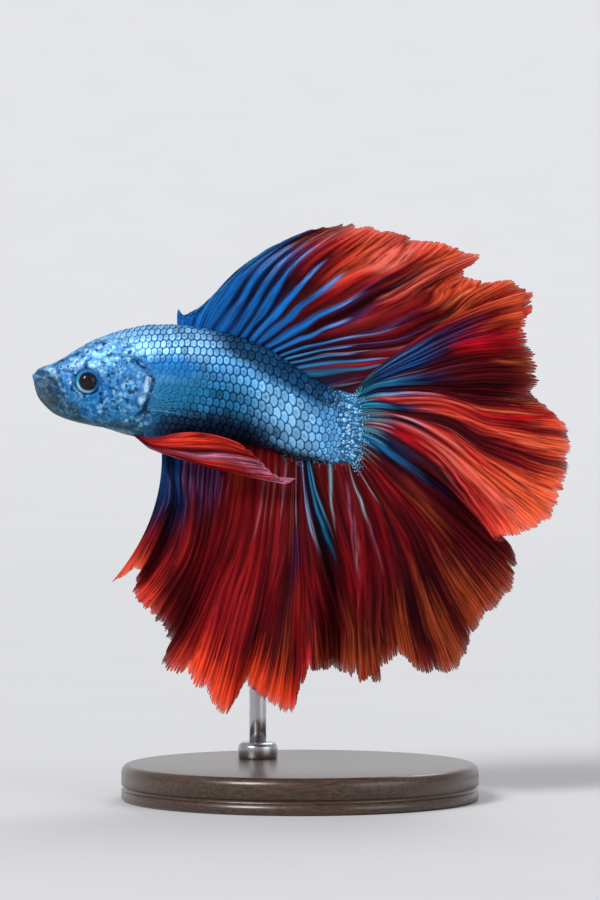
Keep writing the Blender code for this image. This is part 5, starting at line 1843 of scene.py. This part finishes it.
def fin_colours(chart, streaks, places, outs, ridge, nearest, seed):
    """The colour of each point of a fin, and how strongly a bright ray stands out there."""
    own = np.random.default_rng(seed + 4).normal(0, 1, nearest.max() + 1)[nearest]
    out = np.broadcast_to(outs, places.shape)
    blur = 0.045 * own * smooth(0.05, 0.4, out)
    membrane, ray, narrow = chart_colours(chart, places + 0.003 * own, out + blur)
    tone = mix(membrane, ray, ridge**narrow) * np.exp(0.13 * own)[..., None]
    raised = np.zeros(places.shape)
    for first, last, start, end, width, colour, strength in streaks:
        along = np.clip((out - start) / (end - start), 0, 1)
        taper = np.clip(1.2 - 0.6 * along, 0.3, 1.2)
        place = first + (last - first) * along + 0.0012 * wander(out, int(1e4 * first), 0.25)
        line = bell(places, place, width * taper)
        line = line * smooth(start - 0.05, start + 0.05, out) * smooth(end, end - 0.45 * (end - start), out)
        tone = mix(tone, colour, strength * line)
        raised = np.maximum(raised, line * (sum(colour) > 0.1))
    return tone, raised


def lay_ribs(tone, places, outs, nearest, seed):
    """Lays the dorsal fin's blue ribs on it. Each one tapers to a point and pales towards its tip."""
    own = np.random.default_rng(seed + 9).normal(0, 1, nearest.max() + 1)[nearest]
    out = np.broadcast_to(outs, places.shape)
    raised = np.zeros(places.shape)
    for k, (place, widths, end) in enumerate(DORSAL_RIBS):
        half = np.interp(out, RIB_OUTS, widths) * (1 + 0.10 * wander(out, 70 + k, 0.35))
        off = np.abs(places - place) / half
        mask = smooth(1.30, 0.70, off) * smooth(end, end - 0.20 * end, out)
        blue = mix(RIB_NEAR, RIB_REAR, smooth(0.50, 0.75, places))
        blue = mix(blue, RIB_TIP, 0.8 * smooth(0.50 * end, 0.85 * end, out) * smooth(0.12, 0.16, places))
        crest = smooth(0.9, 0.3, off)
        blue = blue * ((0.62 + 0.5 * crest) * np.exp(0.14 * own))[..., None]
        tone = mix(tone, blue, 0.97 * mask)
        raised = np.maximum(raised, mask)
    return tone, raised


def closed_fin(name, points, normals, half, tone, numbers, material, slot, *nodes):
    """A thin closed fin from its middle sheet: two faces half mm either side of it, joined round the edge."""
    columns, rows = points.shape[:2]
    count = columns * rows
    front, back = points + normals * half[..., None], points - normals * half[..., None]
    faces = grid_faces(columns, rows)
    faces += [tuple(count + v for v in reversed(face)) for face in grid_faces(columns, rows)]
    grid = np.arange(count).reshape(columns, rows)
    edge = [*grid[:, 0], *grid[-1, 1:], *grid[-2::-1, -1], *grid[0, -2:0:-1]]
    for a, b in zip(edge, edge[1:] + edge[:1]):
        faces.append((b, a, count + a, count + b))
    every = np.concatenate([front.reshape(-1, 3), back.reshape(-1, 3)])
    twice = {key: np.concatenate([value, value]) for key, value in numbers.items()}
    u = np.repeat(np.linspace(0.01, 0.99, columns), rows)
    v = np.tile(np.linspace(0.01, 0.48, rows), columns)
    uv = np.concatenate([np.stack([u, v], -1), np.stack([u, v + 0.5], -1)])
    colours = np.concatenate([tone.reshape(-1, 3)] * 2)
    mesh = make_mesh(name, every, faces, colours, twice, uv)
    return add_piece(name, mesh, material, slot, *nodes)


def fin_material(name, fineness):
    """A streaked membrane, with a painted pink highlight on its streaks, that lets some light through.
    fineness is how many streaks cross the fin.
    """
    shade = Shade(name)
    place = shade.attribute("fan", "Vector")
    streaks = shade.noise(shade.stretched(place, (fineness, 5.0, 1.0)), 1.0, 3, 0.6)
    broad = shade.noise(shade.stretched(place, (0.30 * fineness, 4.0, 1.0)), 1.0, 2, 0.5)
    tone = shade.colour(shade.ramp(streaks, 0.30, 0.50, 0.78, 0.0), shade.paint(), (0.008, 0.0, 0.002))
    tone = shade.colour(shade.ramp(broad, 0.30, 0.48, 0.45, 0.0), tone, (0.012, 0.0, 0.004))
    # a painted pink highlight on the streaks
    tone = shade.colour(shade.ramp(streaks, 0.52, 0.72, 0.0, 0.70), tone, (0.86, 0.62, 0.60), "SOFT_LIGHT")
    normal = shade.bump(streaks, 0.6, 0.12)
    skin = shade.surface(Base_Color=tone, Roughness=0.5, Specular_IOR_Level=0.035, Normal=normal)
    through = shade.add("ShaderNodeBsdfTranslucent", {"Color": tone, "Normal": normal}).outputs[0]
    body = shade.blend(FIN_GLOW, skin, through)
    return shade.finish(shade.blend(shade.attribute("frayed"), body, shade.clear()))


def add_big_fins():
    """The dorsal, anal and tail fins."""
    dorsal = dict(rays=DORSAL_RAYS, root=dorsal_root, paths=DORSAL_PATHS, bends=DORSAL_BENDS,
                  columns=680, rows=68, mains=16, splits=(0.36, 0.62, 0.76, 0.88), seed=21,
                  fringe=0.014, locks=0.026, pleat=0.34)
    anal = dict(rays=ANAL_RAYS, root=anal_root, paths=ANAL_PATHS,
                columns=760, rows=62, mains=30, splits=(0.38, 0.62, 0.82), seed=31,
                fringe=0.030, locks=0.026, pleat=0.30)
    caudal = dict(rays=CAUDAL_RAYS, root=caudal_root, slope=float(spine_slope(TAIL_X)), paths=CAUDAL_PATHS,
                  columns=840, rows=58, mains=22, splits=(0.25, 0.50, 0.70, 0.84), seed=41,
                  fringe=0.026, locks=0.022, pleat=0.28)
    # name, slot, form, chart, streaks, how many fine streaks cross it, how warm its margin is
    jobs = (
        ("dorsal", "upper_fin", dorsal, DORSAL_CHART, DORSAL_STREAKS, 190.0, 0.3),
        ("anal", "red_fin", anal, ANAL_CHART, ANAL_STREAKS, 240.0, 0.9),
        ("caudal", "red_fin", caudal, CAUDAL_CHART, CAUDAL_STREAKS, 300.0, 0.9),
    )
    for name, slot, form, chart, streaks, fineness, warmth in jobs:
        outs, points, normals, places, ridge, nearest = fin_sheet(**form)
        tone, raised = fin_colours(chart, streaks, places, outs, ridge, nearest, form["seed"])
        if name == "dorsal":
            tone, ribs = lay_ribs(tone, places, outs, nearest, form["seed"])
            raised = np.maximum(raised, ribs)
        edge = np.broadcast_to(smooth(0.84, 1.0, outs), places.shape)
        tone = np.clip(mix(tone, 1.4 * tone + WARM_MARGIN, warmth * edge), 0, 0.95)
        membrane, ray, bright, stout = BIG_HALF
        half = membrane + ray * ridge + bright * raised + stout * (1 - smooth(0.0, 0.35, outs)) * ridge
        numbers = {"fan": fan_place(places, outs), "frayed": fraying(ridge, outs)}
        closed_fin(f"{name}_fin_rayed", points, normals, half, tone, numbers,
                   fin_material(f"betta_{name}_fin", fineness), slot, f"{name}_fin")


def add_pelvic_fins():
    """The two long pelvic fins."""
    sides = ((1, "left", PELVIC_LEFT_RAYS, PELVIC_PATHS), (-1, "right", PELVIC_RIGHT_RAYS, STRAIGHT_PATHS))
    for side, word, rays, paths in sides:
        seed = 50 + side
        outs, points, normals, places, ridge, nearest = fin_sheet(
            rays, pelvic_root(side), paths, columns=260, rows=80, mains=9, splits=(0.30, 0.50, 0.70),
            seed=seed, fringe=0.012, locks=0.010, pleat=0.30, slope=-side * PELVIC_FLARE,
        )
        tone, _ = fin_colours(PELVIC_CHARTS[word], (), places, outs, ridge, nearest, seed)
        numbers = {"fan": fan_place(places, outs), "frayed": np.zeros(places.size)}
        half = PELVIC_HALF[0] + PELVIC_HALF[1] * ridge
        closed_fin(f"pelvic_fin_{word}_rayed", points, normals, half, tone, numbers,
                   fin_material(f"betta_pelvic_{word}", 90.0), "red_fin", f"pelvic_fin_{word}")


def add_pectoral_fins():
    """The two small, nearly clear pectoral fins, laid along the flanks."""
    for side, word in ((1, "left"), (-1, "right")):
        outs, flat, _, places, ridge, _ = fin_sheet(
            PECTORAL_RAYS, pectoral_root, STRAIGHT_PATHS, columns=110, rows=44, mains=9, splits=(0.45,),
            seed=60, fringe=0.05, locks=0.02, pleat=0.0,
        )
        x, lift, z = flat[..., 0], flat[..., 1], flat[..., 2]
        lift = lift * np.clip(outs / 0.15, 0, 1)
        points = np.stack([x, spine_y(x) - side * (flank_reach(x, z) + lift), z], axis=-1)
        normals = grid_normals(points, ring=False)
        points = points + normals * (0.10 * (ridge - 0.5) * smooth(0.1, 0.6, outs))[..., None]
        tone = mix(CLEAR_MEMBRANE, CLEAR_RAY, ridge**2)
        near_root = smooth(0.80, 0.05, outs)
        clear = 0.99 - ridge**5 * (0.02 + 0.30 * near_root**1.5)
        numbers = {"fan": fan_place(places, outs), "clear": clear.ravel()}
        half = PECTORAL_HALF[0] + PECTORAL_HALF[1] * ridge
        closed_fin(f"pectoral_fin_{word}_rayed", points, normals, half, tone, numbers,
                   clear_fin_material(word), "clear_fin", f"pectoral_fin_{word}")


def clear_fin_material(word):
    """A membrane that is clear but for its rays."""
    shade = Shade(f"betta_pectoral_{word}")
    place = shade.attribute("fan", "Vector")
    streaks = shade.noise(shade.stretched(place, (40.0, 3.0, 1.0)), 1.0, 2)
    pale = shade.ramp(streaks, 0.45, 0.7, 0.0, 0.6)
    tone = shade.colour(pale, shade.paint(), (0.7, 0.9, 1.0), "SOFT_LIGHT")
    normal = shade.bump(streaks, 0.3, 0.08)
    skin = shade.surface(Base_Color=tone, Roughness=0.4, Specular_IOR_Level=0.15, Normal=normal)
    return shade.finish(shade.blend(shade.attribute("clear"), skin, shade.clear()))


# ---------------------------------------------------------------- stand

ROUND_STEPS = 160
ROD_SIDES = 40
ROD_TURN = 4.2  # the radius of the rod's bend
ROD_SUNK = 0.3  # how far the rod's end lies inside the skin
BASE_ROUNDING = 1.1
GROOVE = (0.36, 0.35)  # its level as a share of the base's height, and its depth
COLLAR_ROUNDING = 0.8


def turned(name, profile, centre, material, slot, node):
    """A solid turned from a profile of (radius, height) that runs from the top's middle to the bottom's."""
    profile = np.array(profile, float)
    radius, level = profile[1:-1, :1], profile[1:-1, 1:]
    angles = turns(ROUND_STEPS)
    rings = np.stack([radius * np.cos(angles), radius * np.sin(angles), level + 0 * angles], axis=-1)
    poles = [[0, 0, profile[0, 1]], [0, 0, profile[-1, 1]]]
    points = np.concatenate([rings.reshape(-1, 3), poles]) + (*centre, 0)
    faces = [face[::-1] for face in closed_faces(len(radius), ROUND_STEPS)]
    return add_piece(name, make_mesh(name, points, faces), material, slot, node)


def rounded_disc(radius, low, high, rounding, groove=None):
    """A disc's profile: a rounded top edge, a small foot bevel and perhaps a turned groove in its side."""
    profile = [(0, high), (radius * 0.5, high)]
    for angle in np.radians(np.linspace(90, 0, 9)):
        profile.append((radius - rounding * (1 - math.cos(angle)), high - rounding * (1 - math.sin(angle))))
    if groove:
        level, deep = groove
        for angle in np.radians(np.linspace(90, -90, 9)):
            profile.append((radius - deep * math.cos(angle), level + deep * math.sin(angle)))
    foot = rounding / 3
    return profile + [(radius, low + foot), (radius - foot, low), (radius * 0.5, low), (0, low)]


def wood_material():
    """Dark, satin-varnished walnut with fine grain along X."""
    shade = Shade("dark_walnut")
    here = shade.place()
    warp = shade.noise(shade.stretched(here, (0.09, 0.9, 0.9)), 0.55, 4, 0.6)
    grain = shade.noise(shade.stretched(here, (0.35, 9.0, 9.0)), 1.0, 4, 0.6)
    bands = shade.ramp(shade.math("FRACT", shade.times(warp, 9.0)), 0.0, 0.9)
    tone = shade.colour(bands, (0.030, 0.013, 0.006), (0.085, 0.040, 0.018))
    tone = shade.colour(shade.ramp(grain, 0.45, 0.62, 0.0, 0.75), tone, (0.016, 0.007, 0.004))
    shader = shade.surface(Base_Color=tone, Roughness=0.34, Specular_IOR_Level=0.5, Coat_Weight=0.4,
                           Coat_Roughness=0.18, Normal=shade.bump(grain, 0.15, 0.08))
    return shade.finish(shader)


def steel_material(name, stretch):
    """Satin steel. stretch says which way its brush marks run: they are long where it is small."""
    shade = Shade(name)
    brushed = shade.noise(shade.stretched(shade.place(), stretch), 1.0, 3, 0.6)
    tone = shade.colour(shade.ramp(brushed, 0.3, 0.7), (0.42, 0.42, 0.43), (0.60, 0.60, 0.61))
    shader = shade.surface(Base_Color=tone, Metallic=1.0, Roughness=0.28,
                           Normal=shade.bump(brushed, 0.12, 0.03))
    return shade.finish(shader)


def middle_and_radius(low, high):
    """In mm: the x and y of the middle of a round thing's box, and its radius."""
    return ((low.x + high.x) / 2 / MM, (low.y + high.y) / 2 / MM), (high.x - low.x) / 2 / MM


def add_stand():
    """The turned wooden base, the steel collar on it and the rod."""
    base_low, base_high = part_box("stand_base")
    _, radius = middle_and_radius(base_low, base_high)
    height = base_high.z / MM
    base = rounded_disc(radius, 0, height, BASE_ROUNDING, (height * GROOVE[0], GROOVE[1]))
    turned("stand_base_turned", base, (0, 0), wood_material(), "dark_wood", "stand_base")
    low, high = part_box("stand_collar")
    middle, radius = middle_and_radius(low, high)
    collar = rounded_disc(radius, height - 0.1, high.z / MM, COLLAR_ROUNDING)
    steel = steel_material("turned_steel", (6.0, 6.0, 60.0))
    turned("stand_collar_turned", collar, middle, steel, "steel", "stand_collar")
    add_rod(high.z / MM)


def add_rod(collar_top):
    """A round rod that rises behind the fish, bends forward and meets its right flank."""
    low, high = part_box("stand_rod")
    (x, _), radius = middle_and_radius(low, high)
    y, top = high.y / MM - radius, high.z / MM - radius
    path = [(x, y, z) for z in np.linspace(collar_top - 0.5, top - ROD_TURN, 12)]
    for angle in np.radians(np.linspace(0, 90, 17)[1:]):
        path.append((x, y - ROD_TURN * (1 - math.cos(angle)), top - ROD_TURN * (1 - math.sin(angle))))
    touch = float(spine_y(x) + flank_reach(x, top)) - SKIN_DEPTH - ROD_SUNK
    path += [(x, level, top) for level in np.linspace(y - ROD_TURN, touch, 5)[1:]]
    path = np.array(path)
    across = np.tile([1.0, 0.0, 0.0], (len(path), 1))
    other = np.cross(unit(np.gradient(path, axis=0)), across)
    points = [path + radius * (math.cos(a) * across + math.sin(a) * other) for a in turns(ROD_SIDES)]
    count = len(path)
    faces = [face[::-1] for face in grid_faces(ROD_SIDES, count, ring=True)]
    faces.append([k * count for k in range(ROD_SIDES)])
    faces.append([k * count + count - 1 for k in reversed(range(ROD_SIDES))])
    mesh = make_mesh("stand_rod_round", np.concatenate(points), faces)
    steel = steel_material("brushed_steel", (20.0, 20.0, 0.6))
    add_piece("stand_rod_round", mesh, steel, "steel", "stand_rod")


# ---------------------------------------------------------------- studio

VIEW_DISTANCE = 0.525
VIEW_HEIGHT = 0.04886
LENS = 150
SENSOR = 36
# each lamp: where it comes from, its strength, and how wide it looks, in degrees
LAMPS = {
    "key": ((-0.50, -0.62, 0.62), 2.4, 22),
    "fill": ((0.70, -0.50, 0.25), 0.6, 40),
    "back": ((0.20, 0.60, 0.70), 0.8, 30),
}
DAYLIGHT_STRENGTH = 0.45
PALE_GREY = (0.62, 0.62, 0.63)
DAYLIGHT = (0.92, 0.94, 1.0, 1)
FLOOR_REACH = 4.2  # in metres, as are the next three: behind the fish, in front of it, and to each side
FLOOR_NEAR = 1.2
FLOOR_SIDE = 4.5
FLOOR_TURN = 3.2  # the radius of its sweep up into the backdrop


def add_floor():
    """A pale floor that sweeps up into the backdrop far behind the fish."""
    flat = FLOOR_REACH - FLOOR_TURN
    profile = [(-FLOOR_NEAR, 0.0), (flat, 0.0)]
    for angle in np.radians(np.linspace(0, 60, 40)[1:]):
        profile.append((flat + FLOOR_TURN * math.sin(angle), FLOOR_TURN * (1 - math.cos(angle))))
    points = [(x / MM, y / MM, z / MM) for x in (-FLOOR_SIDE, FLOOR_SIDE) for y, z in profile]
    mesh = make_mesh("studio_floor", points, grid_faces(2, len(profile)))
    floor = bpy.data.objects.new("studio_floor", mesh)
    bpy.context.scene.collection.objects.link(floor)
    shade = Shade("studio_paper")
    mottle = shade.noise(shade.place(), 0.02, 3)
    tone = shade.colour(shade.ramp(mottle, 0.3, 0.7), PALE_GREY, tuple(0.985 * c for c in PALE_GREY))
    mesh.materials.append(shade.finish(shade.surface(Base_Color=tone, Roughness=0.9)))


def add_light(name, come_from, strength, softness):
    """A distant soft lamp, so that the fish, the floor and the backdrop are lit alike."""
    data = bpy.data.lights.new(name, "SUN")
    data.energy = strength
    data.angle = math.radians(softness)
    light = bpy.data.objects.new(name, data)
    light.location = come_from
    light.rotation_euler = (-Vector(come_from)).to_track_quat("-Z", "Y").to_euler()
    bpy.context.scene.collection.objects.link(light)


def add_studio():
    """The floor, three lamps, a pale surround, and the camera that looks straight at the fish's left side."""
    add_floor()
    for name, lamp in LAMPS.items():
        add_light(name, *lamp)
    world = bpy.data.worlds.new("studio")
    world.use_nodes = True
    background = world.node_tree.nodes["Background"]
    background.inputs["Color"].default_value = DAYLIGHT
    background.inputs["Strength"].default_value = DAYLIGHT_STRENGTH
    scene = bpy.context.scene
    scene.world = world
    scene.view_settings.view_transform = "Standard"
    camera_data = bpy.data.cameras.new("camera")
    camera_data.lens = LENS
    camera_data.sensor_width = SENSOR
    camera = bpy.data.objects.new("camera", camera_data)
    camera.location = (0, -VIEW_DISTANCE, VIEW_HEIGHT)
    camera.rotation_euler = (math.pi / 2, 0, 0)
    scene.collection.objects.link(camera)
    scene.camera = camera


def write_sizes():
    """Updates the view layer."""
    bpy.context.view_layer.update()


def main():
    """Everything in the scene."""
    add_studio()
    xs, plain, normals, points = skin_grid()
    add_skin(xs, points)
    sheet = Sheet(xs, plain, normals, points)
    add_scales(sheet)
    add_tail_beads(sheet)
    add_eye(1, "left")
    add_eye(-1, "right")
    add_big_fins()
    add_pelvic_fins()
    add_pectoral_fins()
    add_stand()
    write_sizes()


main()
